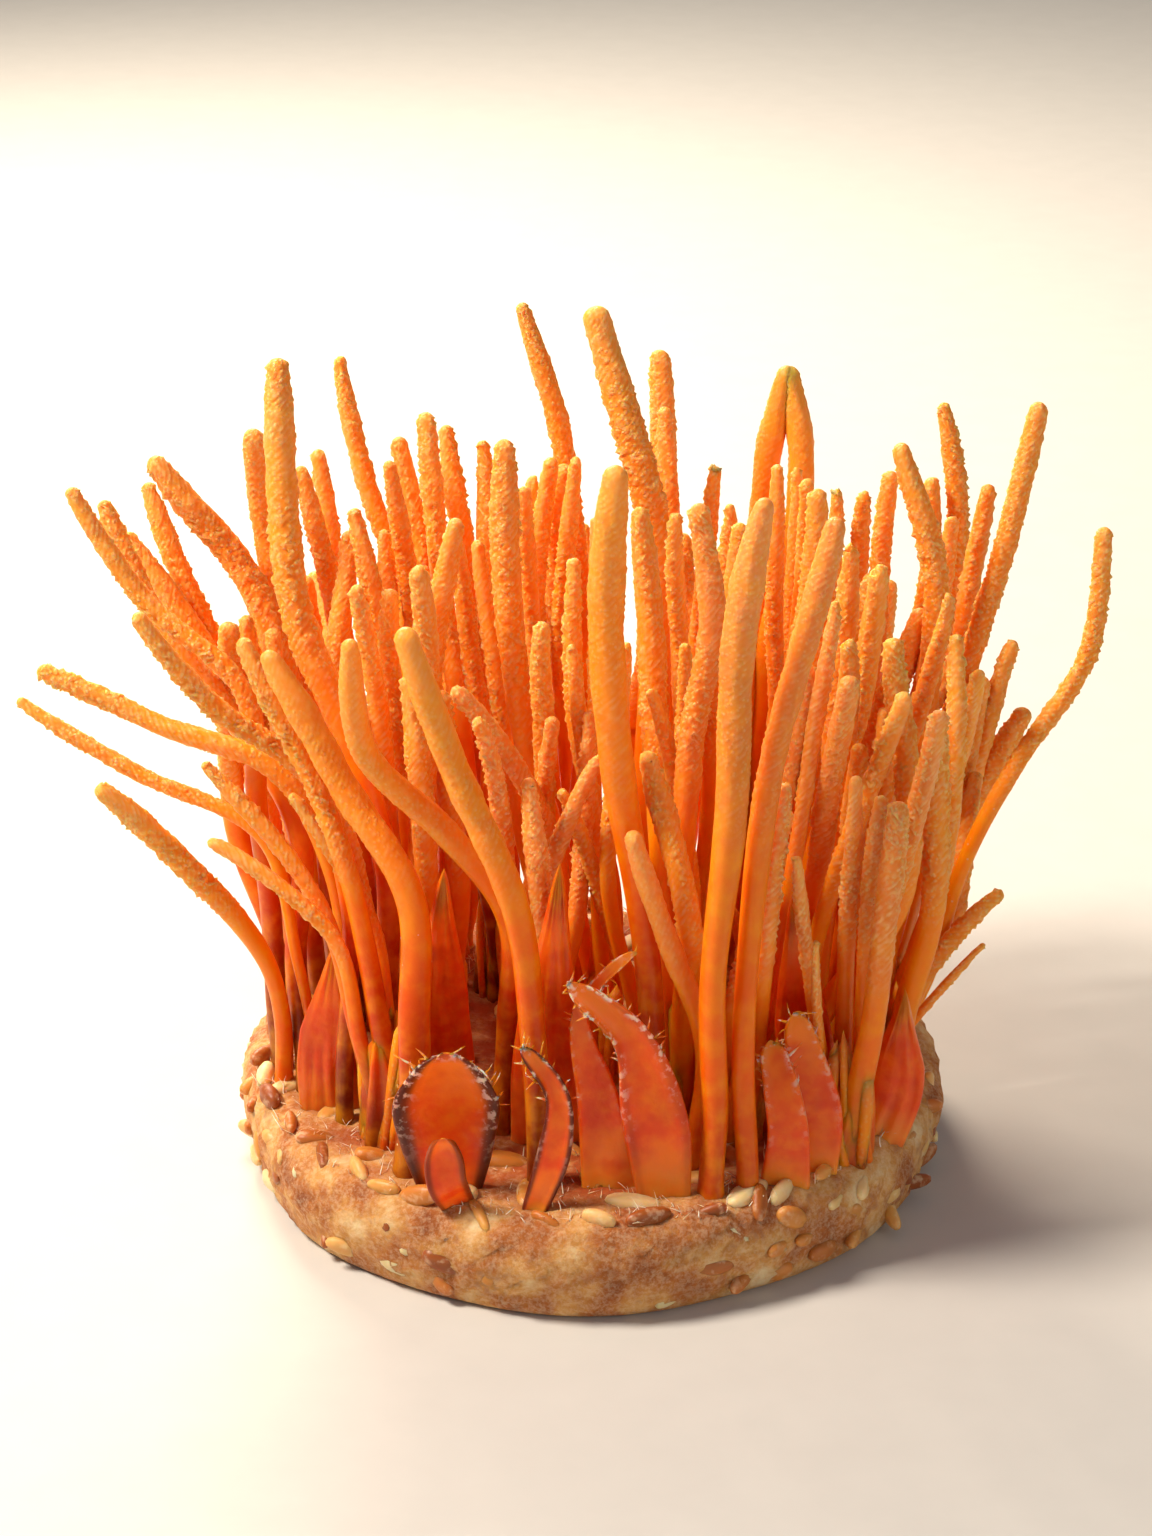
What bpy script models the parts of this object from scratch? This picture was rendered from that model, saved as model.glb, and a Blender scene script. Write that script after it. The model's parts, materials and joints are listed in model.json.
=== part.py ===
"""A bunch of cultivated cordyceps clubs standing on the round cake they grew from.

Lengths are in millimetres until a mesh is written, which is in metres. +Z is up, and the
origin is the centre of the cake's flat underside. Photo points are pixels of the
1152 x 1536 photograph, turned into millimetres by the camera below.
"""

import math

import bmesh
import bpy
import numpy as np

MM = 0.001

# Driving dimensions of the cake
CAKE_RADIUS = 36.0
CAKE_TOP = 10.0
CAKE_SIDES = 30
# Its side, from the flat underside up: (how far in from the radius, height)
CAKE_PROFILE = ((2.0, 0.0), (0.4, 1.6), (0.0, 5.0), (0.9, CAKE_TOP - 0.9), (2.3, CAKE_TOP))
# Soft waves round the cake: (how many, how deep), and the scatter of each point
CAKE_WAVES = ((3, 0.5), (7, 0.35))
WAVE_START = 0.6
CAKE_SCATTER = 0.22
LEVEL_SCATTER = 0.2
RIM_KERNELS = 6
KERNEL_LENGTH = 6.0
KERNEL_WIDTH = 3.0
# How far a kernel's middle lies below the cake's top, and in from its side
KERNEL_DEPTHS = (1.4, 3.4)
KERNEL_INSET = 0.7

# Driving dimensions of the clubs
CLEARANCE = 0.34
FOOT_GAP = 0.3
FOOT_LIMIT = 33.5
FUSED_HEIGHT = CAKE_TOP + 7.5
FULLY_FUSED = 200.0
FOOT_STEP = 0.05
FOOT_PITCH = 1.75
STALK_SPREAD = 1.05
BLADE_THICKNESS = 2.0

# How finely a club is facetted: mm from ring to ring, spans from tip to foot, points round it
RING_SPACING = 13.5
TUFT_RING_SPACING = 21.0
FEWEST_SPANS = 3
FEWEST_TUFT_SPANS = 2
MOST_SPANS = 8
BROAD_CLUB = 2.2
BROAD_SIDES = 6
SLIM_SIDES = 5
BLADE_SIDES = 8

# A club's form from the tip down, as shares of its length: the wide head, then the stalk
CLUB_SHARE = 0.45
CLUB_PLACES = (0, 0.05, CLUB_SHARE, CLUB_SHARE + 0.2, 1)
CLUB_FULLNESS = (0.88, 1, 1, 0, 0)
# The first ring: how far below the tip, and how wide, as shares of the radius there
TIP_RING_DEPTH = 0.8
TIP_RING_WIDTH = 0.85
BLADE_TIP_WIDTH = 0.75
BLADE_TIP_THICKNESS = 0.8

# How readily each kind of stem gives way when stems crowd each other
GIVE_SINGLE = 0.45
GIVE_FORK = 0.6
GIVE_TUFT = 0.8
GIVE_TRUNK = 0.7
GIVE_BLADE = 0.3
GIVE_FILLING = 1.0

# The photo's camera: its tilt and scale come from the oval where the cloth meets the cake
PHOTO_CENTRE = (576.0, 768.0)
PIXELS_PER_MM = 10.0
CAMERA_TILT = math.radians(24.4)
CAMERA_DISTANCE = 400.0
AIM = (-1.4, 0.0, 42.2)
# Share of a depth that lies along the camera's axis, close to the cosine of its tilt
DEPTH_SHARE = 0.9
# A foot that the photo hides is drawn this far in towards the cake's middle
HIDDEN_FOOT_SHARE = 0.86

SEED = 7
FLAT_ANGLE = math.radians(1.5)
SHARP_ANGLE = math.radians(50)
# Corners that a union leaves closer together than this become one
WELD_DISTANCE = 0.018

# Stems that stand in a node of their own. Each row holds the depth of the tip and of the
# foot (mm, negative is nearer), the width of the club and of the stalk (pixels), and the
# route from the tip down (pixels). A foot depth of None means the route ends on the cake.
SINGLE_STEMS = {
    "left_outer": (0, None, 19, 22, [
        (70, 488), (93, 540), (128, 585), (175, 622), (235, 665), (262, 720), (266, 790),
        (266, 870), (276, 950), (283, 1062)]),
    "left_blunt": (7, None, 22, 22, [
        (103, 500), (118, 545), (150, 600), (178, 650), (240, 725), (280, 785), (296, 830),
        (293, 910), (298, 980), (306, 1090)]),
    "left_low": (-12, None, 20, 18, [
        (138, 612), (155, 650), (190, 690), (240, 722), (300, 770), (335, 820), (346, 890),
        (348, 960), (345, 1115)]),
    "left_fat": (9, -1, 28, 20, [
        (150, 457), (185, 485), (215, 520), (232, 575), (262, 645), (290, 720)]),
    "left_tall": (2, None, 30, 24, [
        (275, 358), (283, 450), (286, 545), (305, 640), (340, 730), (368, 810), (388, 890),
        (385, 1000), (375, 1120)]),
    "back_twisted": (27, 19, 19, 15, [
        (341, 356), (333, 395), (345, 450), (375, 490), (400, 545)]),
    "back_needle": (25, 17, 20, 20, [(520, 303), (536, 352), (553, 412), (568, 470)]),
    "back_tall": (14, 5, 30, 32, [(592, 307), (608, 365), (630, 445), (652, 515), (660, 600)]),
    "front_tall_left": (-20, None, 34, 27, [
        (617, 465), (610, 540), (605, 620), (614, 720), (627, 820), (640, 915), (652, 1010),
        (655, 1158)]),
    "front_tall_middle": (-26, None, 33, 27, [
        (768, 497), (753, 565), (740, 640), (733, 740), (727, 840), (719, 930), (714, 1040),
        (711, 1190)]),
    "front_tall_right": (-21, None, 26, 23, [
        (836, 518), (824, 585), (797, 660), (780, 745), (762, 840), (750, 940), (746, 1060),
        (748, 1185)]),
    "right_far": (0, -6, 18, 15, [
        (1105, 527), (1096, 610), (1083, 665), (1037, 730), (995, 805), (960, 875),
        (930, 945), (912, 1040)]),
    "right_tall": (8, 2, 21, 18, [
        (1040, 402), (1018, 480), (1005, 550), (983, 625), (960, 690), (944, 760)]),
    "right_bent": (6, -4, 23, 20, [(903, 442), (916, 505), (938, 590), (932, 680), (920, 770)]),
    "front_left_slim": (-25, None, 27, 22, [
        (352, 640), (353, 705), (370, 772), (412, 812), (465, 850), (498, 905), (507, 990),
        (505, 1120)]),
    "front_left_stout": (-15, None, 30, 32, [
        (266, 650), (288, 712), (325, 765), (375, 808), (404, 860), (416, 940), (414, 1030),
        (408, 1168)]),
    "front_left_long": (-27, None, 30, 26, [
        (403, 628), (417, 690), (445, 752), (485, 822), (510, 885), (525, 960), (533, 1050),
        (540, 1180)]),
    "feeler_upper": (-4, -11, 20, 14, [
        (38, 668), (75, 692), (130, 717), (190, 733), (240, 752), (300, 785), (325, 850)]),
    "feeler_lowest": (-3, -8, 15, 12, [
        (19, 698), (60, 736), (115, 754), (160, 790), (220, 812), (262, 832), (280, 900)]),
    "feeler_granular": (-15, None, 24, 19, [
        (95, 790), (145, 808), (178, 842), (205, 893), (255, 933), (281, 975), (290, 1078)]),
    "front_long": (-14, None, 25, 20, [
        (700, 503), (707, 560), (706, 660), (690, 765), (678, 850), (690, 945), (703, 1010),
        (705, 1110)]),
    "right_front": (-19, None, 22, 20, [
        (940, 712), (925, 775), (903, 853), (880, 935), (860, 1010), (856, 1110)]),
    "front_curved": (-23, None, 22, 20, [
        (630, 830), (640, 880), (655, 925), (690, 958), (706, 1000), (702, 1060), (690, 1165)]),
}

# The tall club at the back that splits: its depth and tip width (mm), the feet's places (mm),
# and for each of its two stalks the route and the width (pixels)
FORK_DEPTH = 22
FORK_TIP = 2.5
FORK_FEET = ((15.0, 19.0), (17.0, 19.0))
FORK_STALKS = (
    ([(791, 362), (787, 415), (768, 450), (761, 500)], 20),
    ([(791, 372), (793, 430), (804, 460), (812, 500)], 19),
)

# Tufts: stems that part from one low trunk. Each has the trunk's place on the cake (mm) and,
# for each stem, the depth of its tip, the two widths and the route.
TUFTS = {
    "left_slender": ((-28, 6), [
        (14, 24, 18, [(125, 533), (158, 580), (192, 628), (232, 690)]),
        (18, 21, 17, [(145, 483), (165, 525), (195, 575), (210, 625), (222, 680)])]),
    "left_back": ((-22, 10), [
        (14, 17, 15, [(265, 485), (272, 560)]),
        (15, 19, 16, [(300, 466), (308, 510), (326, 592)]),
        (19, 18, 15, [(319, 449), (332, 530)]),
        (9, 20, 17, [(354, 509), (363, 545), (378, 590)]),
        (12, 22, 18, [(345, 535), (356, 590)]),
        (8, 24, 20, [(252, 430), (246, 490), (252, 560), (275, 630), (310, 710)]),
        (16, 18, 16, [(383, 530), (385, 590)])]),
    "top_left": ((-9, 14), [
        (23, 21, 18, [(397, 437), (406, 490), (414, 530)]),
        (15, 19, 17, [(388, 460), (396, 510), (402, 560)]),
        (26, 20, 18, [(445, 425), (455, 470), (465, 530)]),
        (22, 20, 17, [(478, 442), (490, 475), (488, 520)]),
        (21, 20, 18, [(424, 412), (424, 460), (430, 520), (440, 580)]),
        (10, 18, 16, [(460, 540), (467, 590), (462, 620)])]),
    "top_centre": ((-4, 24), [
        (17, 19, 17, [(553, 457), (548, 490), (533, 535)]),
        (14, 17, 16, [(577, 457), (576, 510)]),
        (19, 21, 18, [(566, 464), (562, 510), (558, 560)]),
        (22, 16, 15, [(539, 480), (533, 525)]),
        (11, 16, 15, [(525, 487), (527, 540)])]),
    "top_right": ((9, 12), [
        (21, 18, 17, [(662, 407), (666, 455), (672, 520)]),
        (27, 25, 20, [(662, 350), (653, 395), (656, 445), (664, 500)]),
        (15, 17, 15, [(718, 472), (712, 505)]),
        (8, 17, 15, [(725, 507), (726, 560)]),
        (3, 18, 16, [(677, 514), (670, 560), (676, 630)]),
        (2, 19, 17, [(741, 524), (735, 570), (727, 610)])]),
    "right_centre": ((19, 9), [
        (8, 17, 15, [(776, 465), (776, 510), (772, 550)]),
        (14, 15, 14, [(793, 470), (796, 520)]),
        (10, 17, 15, [(804, 480), (808, 540)]),
        (1, 24, 19, [(818, 490), (820, 545), (812, 590)]),
        (7, 17, 15, [(833, 495), (836, 530)])]),
    "right_back": ((27, 14), [
        (9, 18, 16, [(871, 497), (862, 545)]),
        (14, 19, 17, [(890, 472), (886, 520), (882, 570)]),
        (17, 19, 16, [(930, 478), (942, 515), (944, 560)]),
        (19, 20, 17, [(943, 402), (957, 455), (967, 525), (960, 590)]),
        (8, 19, 17, [(957, 517), (946, 560), (942, 600)]),
        (11, 19, 17, [(988, 485), (980, 545), (965, 615), (950, 680)])]),
    "right_side": ((29, 0), [
        (4, 19, 16, [(1015, 642), (993, 680), (978, 725)]),
        (-3, 21, 17, [(971, 668), (971, 705), (966, 750)]),
        (1, 21, 18, [(975, 772), (950, 830), (930, 900), (910, 985)]),
        (1, 18, 16, [(946, 597), (947, 640)]),
        (-4, 20, 16, [(953, 632), (948, 690)])]),
    "right_low": ((21, -8), [
        (-1, 22, 18, [(850, 552), (848, 600)]),
        (-6, 21, 18, [(875, 570), (876, 620)]),
        (-15, 19, 17, [(906, 692), (907, 750), (902, 800)]),
        (-13, 25, 22, [(893, 640), (889, 700), (882, 780), (876, 880)]),
        (-10, 23, 18, [(848, 642), (850, 690)])]),
    "front_right": ((14, -16), [
        (-15, 16, 15, [(833, 602), (833, 665)]),
        (-19, 24, 20, [(843, 677), (842, 745), (838, 830)]),
        (-13, 18, 16, [(807, 667), (804, 720)]),
        (-20, 20, 17, [(778, 852), (776, 905)]),
        (-18, 15, 14, [(795, 812), (785, 850)])]),
    "front_right_low": ((25, -19), [
        (-22, 18, 16, [(885, 797), (870, 855), (864, 920)]),
        (-21, 18, 16, [(856, 777), (856, 830)]),
        (-23, 15, 14, [(797, 857), (801, 905)]),
        (-25, 10, 9, [(817, 942), (808, 972)])]),
    "inner_left": ((-16, -3), [
        (-3, 22, 18, [(458, 519), (440, 555), (424, 600)]),
        (-8, 24, 20, [(412, 570), (437, 612), (432, 665)]),
        (0, 22, 18, [(395, 590), (396, 640)]),
        (-6, 20, 17, [(357, 585), (368, 645)])]),
    "inner_middle": ((1, -4), [
        (-3, 17, 15, [(575, 558), (568, 605), (562, 650)]),
        (4, 27, 22, [(503, 440), (507, 500), (512, 600), (516, 700)]),
        (-10, 21, 17, [(548, 624), (542, 680)]),
        (6, 16, 15, [(480, 540), (482, 600)]),
        (5, 16, 15, [(594, 517), (596, 570)]),
        (-7, 17, 15, [(570, 645), (582, 700)])]),
    "inner_front": ((-5, -12.5), [
        (-14, 20, 17, [(450, 690), (500, 698), (540, 735), (552, 790)]),
        (-19, 19, 16, [(478, 720), (515, 748), (535, 790)]),
        (-12, 17, 15, [(556, 720), (553, 780)]),
        (-15, 17, 15, [(602, 757), (572, 765), (562, 820)]),
        (-9, 18, 16, [(586, 712), (590, 760)])]),
    "inner_low": ((8, -12), [
        (-15, 16, 14, [(560, 790), (578, 820), (586, 860)]),
        (-11, 17, 15, [(642, 692), (664, 716), (668, 770)]),
        (-8, 15, 14, [(672, 642), (675, 700)]),
        (-12, 16, 15, [(630, 642), (636, 700)]),
        (-5, 26, 22, [(643, 508), (650, 560), (660, 640), (670, 700)])]),
    "left_ledge": ((-20, -15), [
        (-14, 17, 15, [(290, 795), (325, 803), (352, 830)]),
        (-9, 15, 14, [(320, 775), (348, 795), (362, 850)]),
        (-12, 17, 14, [(204, 762), (236, 797), (290, 815), (318, 880)]),
        (-15, 16, 13, [(209, 845), (250, 828), (300, 850), (325, 910)]),
        (-12, 22, 18, [(243, 637), (262, 678), (296, 730), (330, 800)])]),
    "right_twigs": ((28.5, -10), [
        (-5, 18, 15, [(1003, 893), (968, 905), (938, 940), (922, 985)]),
        (-10, 9, 9, [(985, 944), (945, 965), (926, 990), (915, 1040)])]),
}

# Broad flattened stems. The width changes from the tip down: each row is the depth of the
# tip, the widths (pixels) and the route to the cake.
BLADES = {
    "ear_front": (-30, (50, 104, 108, 92, 64), [
        (446, 1052), (447, 1080), (447, 1115), (448, 1150), (450, 1192)]),
    "ear_small": (-33.5, (30, 44, 36), [(443, 1138), (445, 1165), (447, 1204)]),
    "crescent": (-30.5, (16, 22, 34, 34, 26), [
        (520, 1046), (548, 1075), (560, 1115), (552, 1160), (532, 1206)]),
    "bent_broad": (-28, (26, 28, 44, 66, 66, 56), [
        (567, 981), (596, 1010), (630, 1038), (647, 1085), (655, 1135), (664, 1190)]),
    "bent_arm": (-26, (12, 13, 15, 24, 44, 60, 66), [
        (638, 954), (620, 954), (600, 961), (582, 978), (584, 1030), (602, 1110), (616, 1189)]),
    "right_broad": (-24, (30, 42, 46, 52), [(795, 1012), (804, 1060), (820, 1115), (836, 1183)]),
    "right_lobe": (-25, (30, 40, 52), [(770, 1040), (784, 1100), (797, 1184)]),
    "left_glow": (-13, (40, 68, 74, 70), [(336, 945), (336, 985), (336, 1040), (338, 1112)]),
    "front_glow": (-20, (30, 56, 66, 70), [(446, 868), (442, 930), (440, 1000), (446, 1100)]),
    "middle_glow": (-22, (34, 60, 72, 76), [(560, 862), (556, 930), (548, 1010), (545, 1136)]),
    "right_glow": (-18, (30, 52, 66, 76), [(790, 890), (792, 950), (800, 1030), (815, 1120)]),
    "far_right_glow": (-13, (26, 50, 66, 70), [(903, 985), (900, 1030), (893, 1080), (886, 1135)]),
}

# Tufts that fill the hidden back: angle round the cake (degrees) and distance from its centre
BACK_TUFTS = {
    "back_a": (12, 25.0), "back_b": (42, 27.0), "back_c": (70, 27.0),
    "back_d": (98, 27.5), "back_e": (126, 27.0), "back_f": (156, 26.0),
}
BACK_TUFT_STEMS = 5
BACK_HEIGHTS = (40.0, 60.0)
BACK_WIDTH = 2.2
BACK_WIDTH_RANGE = (0.85, 1.2)
BACK_SWELL = 1.08
BACK_FAN = math.radians(60)
BACK_LEANS = (0.06, 0.42)
# Where a back stem's two middle points lie, as shares of the way from foot to tip
BACK_LOW_SHARE = 0.32
BACK_HIGH_SHARE = 0.7
BACK_BOW = 1.5
BACK_WANDER = 1.6
# Tufts inside the bunch that hold more stems than the photo lets one trace
FILLED_TUFTS = {
    "inner_left": 2, "inner_front": 1, "inner_low": 1, "front_right": 1, "left_slender": 3,
    "front_right_low": 1, "right_twigs": 3,
}
INNER_HEIGHTS = (34.0, 52.0)
INNER_WIDTH = 2.1
INNER_WIDTH_RANGE = (0.9, 1.15)
HEAD_SWELL = 1.05
INNER_SCATTER = 3.0
INNER_SPREAD = 1.2
INNER_LEAN = 0.08
INNER_WANDER = 1.0
# The trunk that a tuft's stalks have grown together into at their foot
TRUNK_HEIGHTS = (10.5, 14.0)
TRUNK_MARGIN = 1.25
TRUNK_SIDES = 6
TRUNK_LEAN = 0.06
TRUNK_RING_HEIGHTS = (1.0, 0.85, 0.0)
TRUNK_RING_WIDTHS = (0.4, 0.84, 1.0)
# A stalk ends inside its trunk, this far above the trunk's foot
ROOTED_DEPTH = 2.0
# Highest place in the photo that a hidden stem's tip may reach: (x pixel, y pixel)
HIDDEN_LIMIT = [(150, 700), (260, 600), (400, 520), (560, 520), (760, 540), (900, 580), (1010, 700)]

# Making room for crowded stems: how many rounds, how far apart the sample discs lie, how far
# round a stem is searched, and how each round's push is spread over a stem
ROUNDS = 420
SAMPLE_STEP = 1.1
SEARCH_REACH = 1.6
SEARCH_EVERY = 10
WIDEST_SAMPLE = 2.5
SEARCH_HEIGHT = 6.0
SAFETY = 0.05
FIRST_SIDE_PUSH = 0.35
FIRST_VIEW_PUSH = 0.5
STEP_GAIN = 1.3
SMOOTH_UNTIL = 0.7
SMOOTH_SHARE = 0.35
SEARCH_BLOCK = 400

STALK_COLOURS = {
    "left": (0.62, 0.16, 0.03), "front": (0.80, 0.25, 0.05), "back": (0.85, 0.33, 0.07),
    "right": (0.86, 0.36, 0.08), "inner": (0.85, 0.30, 0.05),
}
CAKE_COLOUR = (0.80, 0.62, 0.40)
FLESH_ROUGHNESS = 0.45
CAKE_ROUGHNESS = 0.8

forward = np.array([0.0, math.cos(CAMERA_TILT), -math.sin(CAMERA_TILT)])
upward = np.array([0.0, math.sin(CAMERA_TILT), math.cos(CAMERA_TILT)])
eye = np.array(AIM) - forward * CAMERA_DISTANCE
focal_pixels = PIXELS_PER_MM * CAMERA_DISTANCE
foot_plane = CAKE_TOP + FOOT_GAP


def sight_line(pixel):
    """Direction of the sight line through a photo pixel."""
    line = forward.copy()
    line[0] = (pixel[0] - PHOTO_CENTRE[0]) / focal_pixels
    return line + upward * (PHOTO_CENTRE[1] - pixel[1]) / focal_pixels


def at_depth(pixel, depth):
    line = sight_line(pixel)
    return eye + line * (depth - eye[1]) / line[1]


def on_cake(pixel):
    line = sight_line(pixel)
    return eye + line * (foot_plane - eye[2]) / line[2]


def to_pixel(point):
    offset = np.asarray(point) - eye
    scale = focal_pixels / (offset @ forward)
    return np.array([PHOTO_CENTRE[0] + offset[0] * scale, PHOTO_CENTRE[1] - (offset @ upward) * scale])


def lengths_along(points):
    steps = np.linalg.norm(np.diff(points, axis=0), axis=1)
    return np.concatenate([[0.0], np.cumsum(steps)])


def smooth_curve(points, steps=8):
    """Points of a Catmull-Rom curve through the given points."""
    points = np.asarray(points, float)
    padded = np.vstack([2 * points[0] - points[1], points, 2 * points[-1] - points[-2]])
    curve = []
    for i in range(len(points) - 1):
        a, b, c, d = padded[i:i + 4]
        for t in np.arange(steps) / steps:
            curve.append(0.5 * (2 * b + (c - a) * t + (2 * a - 5 * b + 4 * c - d) * t ** 2
                                + (3 * b - a - 3 * c + d) * t ** 3))
    curve.append(points[-1])
    return np.array(curve)


def lifted_route(pixels, tip_depth, foot):
    """The route in millimetres: photo points pushed back to a depth that runs tip to foot."""
    flat = np.vstack([np.array(pixels, float), to_pixel(foot)])
    share = lengths_along(flat)
    share = share / share[-1]
    depths = tip_depth + (foot[1] - tip_depth) * share
    route = [at_depth(pixel, depth) for pixel, depth in zip(flat[:-1], depths[:-1])]
    return np.vstack([route, foot])


def hidden_foot(pixels, foot_depth):
    """Foot of a stem whose base is hidden: under its lowest seen point, drawn inward."""
    lowest = at_depth(pixels[-1], foot_depth)
    return np.array([lowest[0] * HIDDEN_FOOT_SHARE, foot_depth, foot_plane])


def inside_cake(foot, limit):
    reach = math.hypot(foot[0], foot[1])
    if reach > limit:
        foot[:2] *= limit / reach
    return foot


def new_stem(node, route, club, stalk, sides, give, flat=None, fused_height=CAKE_TOP):
    """A stem as rings along its route. Ring 0 is the tip's point, and the last is the foot."""
    curve = smooth_curve(route)
    along = lengths_along(curve)
    length = along[-1]
    tip_radius = (club if flat is None else min(flat[0], BLADE_THICKNESS)) / 2
    in_tuft = fused_height == FUSED_HEIGHT
    spacing = TUFT_RING_SPACING if in_tuft else RING_SPACING
    fewest = FEWEST_TUFT_SPANS if in_tuft else FEWEST_SPANS
    count = int(np.clip(round(length / spacing), fewest, MOST_SPANS))
    stations = np.linspace(0.0, length, count + 1)
    stations = np.insert(stations, 1, TIP_RING_DEPTH * tip_radius)
    rings = np.column_stack([np.interp(stations, along, curve[:, k]) for k in range(3)])
    share = stations / length
    if flat is None:
        fullness = np.interp(share, CLUB_PLACES, CLUB_FULLNESS)
        radius = stalk / 2 + (club - stalk) / 2 * fullness
        radius[1] *= TIP_RING_WIDTH
        if in_tuft:
            radius *= np.interp(share, [0, CLUB_SHARE, 1], [1, 1, STALK_SPREAD])
        half_width = radius
    else:
        half_width = np.interp(share, np.linspace(0, 1, len(flat)), flat) / 2
        radius = np.minimum(BLADE_THICKNESS / 2, half_width)
        half_width[1] *= BLADE_TIP_WIDTH
        radius[1] *= BLADE_TIP_THICKNESS
    return {"node": node, "rings": rings, "radius": radius, "half_width": half_width.copy(),
            "sides": sides, "give": give, "fused_height": fused_height}


def width_in_mm(pixels, depth):
    return pixels / PIXELS_PER_MM * (CAMERA_DISTANCE + depth * DEPTH_SHARE) / CAMERA_DISTANCE


def traced_singles():
    stems = []
    for name, (tip_depth, foot_depth, club, stalk, pixels) in SINGLE_STEMS.items():
        if foot_depth is None:
            foot = inside_cake(on_cake(pixels[-1]), FOOT_LIMIT - 1)
            pixels = pixels[:-1]
        else:
            foot = inside_cake(hidden_foot(pixels, foot_depth), FOOT_LIMIT - 2)
        route = lifted_route(pixels, tip_depth, foot)
        club = width_in_mm(club, tip_depth)
        stalk = width_in_mm(stalk, tip_depth)
        sides = BROAD_SIDES if club > BROAD_CLUB else SLIM_SIDES
        stems.append(new_stem("stem_" + name, route, club, stalk, sides, GIVE_SINGLE))
    return stems


def fork_stems():
    """The split club at the back: two stalks that meet in one tip."""
    stems = []
    for (pixels, width), (x, y) in zip(FORK_STALKS, FORK_FEET):
        route = lifted_route(pixels, FORK_DEPTH, np.array([x, y, foot_plane]))
        stems.append(new_stem("stem_back_fork", route, FORK_TIP, width_in_mm(width, FORK_DEPTH),
                              BROAD_SIDES, GIVE_FORK, fused_height=FULLY_FUSED))
    return stems


def clump_radius(count):
    """Radius of the ring in which a tuft's feet stand."""
    return FOOT_PITCH / (2 * math.sin(math.pi / count))


def tuft_feet(foot, count):
    """Feet of a tuft's stems, in a ring inside its trunk."""
    clump = clump_radius(count)
    feet = []
    for i in range(count):
        turn = 2 * math.pi * (i + 0.3) / count
        offset = clump * np.array([math.cos(turn), math.sin(turn)])
        feet.append(np.array([foot[0] + offset[0], foot[1] + offset[1], foot_plane + ROOTED_DEPTH]))
    return feet


def below_limit(tip):
    """Lowers a hidden stem's tip until the photo's sky line hides it."""
    limit_x, limit_y = np.array(HIDDEN_LIMIT, float).T
    while to_pixel(tip)[1] < np.interp(to_pixel(tip)[0], limit_x, limit_y):
        tip[2] -= 1.0
    return tip


def filling_stem(node, foot, place, rng):
    """A stem inside the bunch that the photo shows only as part of the crowd."""
    height = rng.uniform(*INNER_HEIGHTS)
    lean = rng.normal(0, INNER_SCATTER, 2) + INNER_SPREAD * (place[:2] - np.array(foot))
    lean = lean + INNER_LEAN * np.array(foot)
    tip = below_limit(place + np.array([lean[0], lean[1], height]))
    middle = (place + tip) / 2 + rng.normal(0, INNER_WANDER, 3) * np.array([1, 1, 0])
    width = INNER_WIDTH * rng.uniform(*INNER_WIDTH_RANGE)
    return new_stem(node, [tip, middle, place], width * HEAD_SWELL, width, SLIM_SIDES,
                    GIVE_FILLING, fused_height=FUSED_HEIGHT)


def trunk_stem(node, foot, count, rng):
    """The stout low trunk that swallows the feet of a tuft's stalks."""
    place = np.array([foot[0], foot[1], foot_plane])
    lean = TRUNK_LEAN * place
    top = np.array([lean[0], lean[1], rng.uniform(*TRUNK_HEIGHTS)])
    rings = place + np.outer(TRUNK_RING_HEIGHTS, top)
    radius = (clump_radius(count) + TRUNK_MARGIN) * np.array(TRUNK_RING_WIDTHS)
    return {"node": node, "rings": rings, "radius": radius, "half_width": radius.copy(),
            "sides": TRUNK_SIDES, "give": GIVE_TRUNK, "fused_height": FULLY_FUSED}


def traced_tufts(rng):
    stems = []
    for name, (foot, rows) in TUFTS.items():
        extra = FILLED_TUFTS.get(name, 0)
        places = tuft_feet(foot, len(rows) + extra)
        stems.append(trunk_stem("tuft_" + name, foot, len(places), rng))
        for place in places[len(rows):]:
            stems.append(filling_stem("tuft_" + name, foot, place, rng))
        for (tip_depth, club, stalk, pixels), place in zip(rows, places):
            route = lifted_route(pixels, tip_depth, place)
            club = width_in_mm(club, tip_depth)
            stalk = width_in_mm(stalk, tip_depth)
            stems.append(new_stem("tuft_" + name, route, club, stalk, SLIM_SIDES, GIVE_TUFT,
                                  fused_height=FUSED_HEIGHT))
    return stems


def blade_stems():
    stems = []
    for name, (tip_depth, widths, pixels) in BLADES.items():
        foot = inside_cake(on_cake(pixels[-1]), FOOT_LIMIT)
        route = lifted_route(pixels[:-1], tip_depth, foot)
        widths = [width_in_mm(w, tip_depth) for w in widths]
        stems.append(new_stem("blade_" + name, route, 0, 0, BLADE_SIDES, GIVE_BLADE, flat=widths))
    return stems


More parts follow.
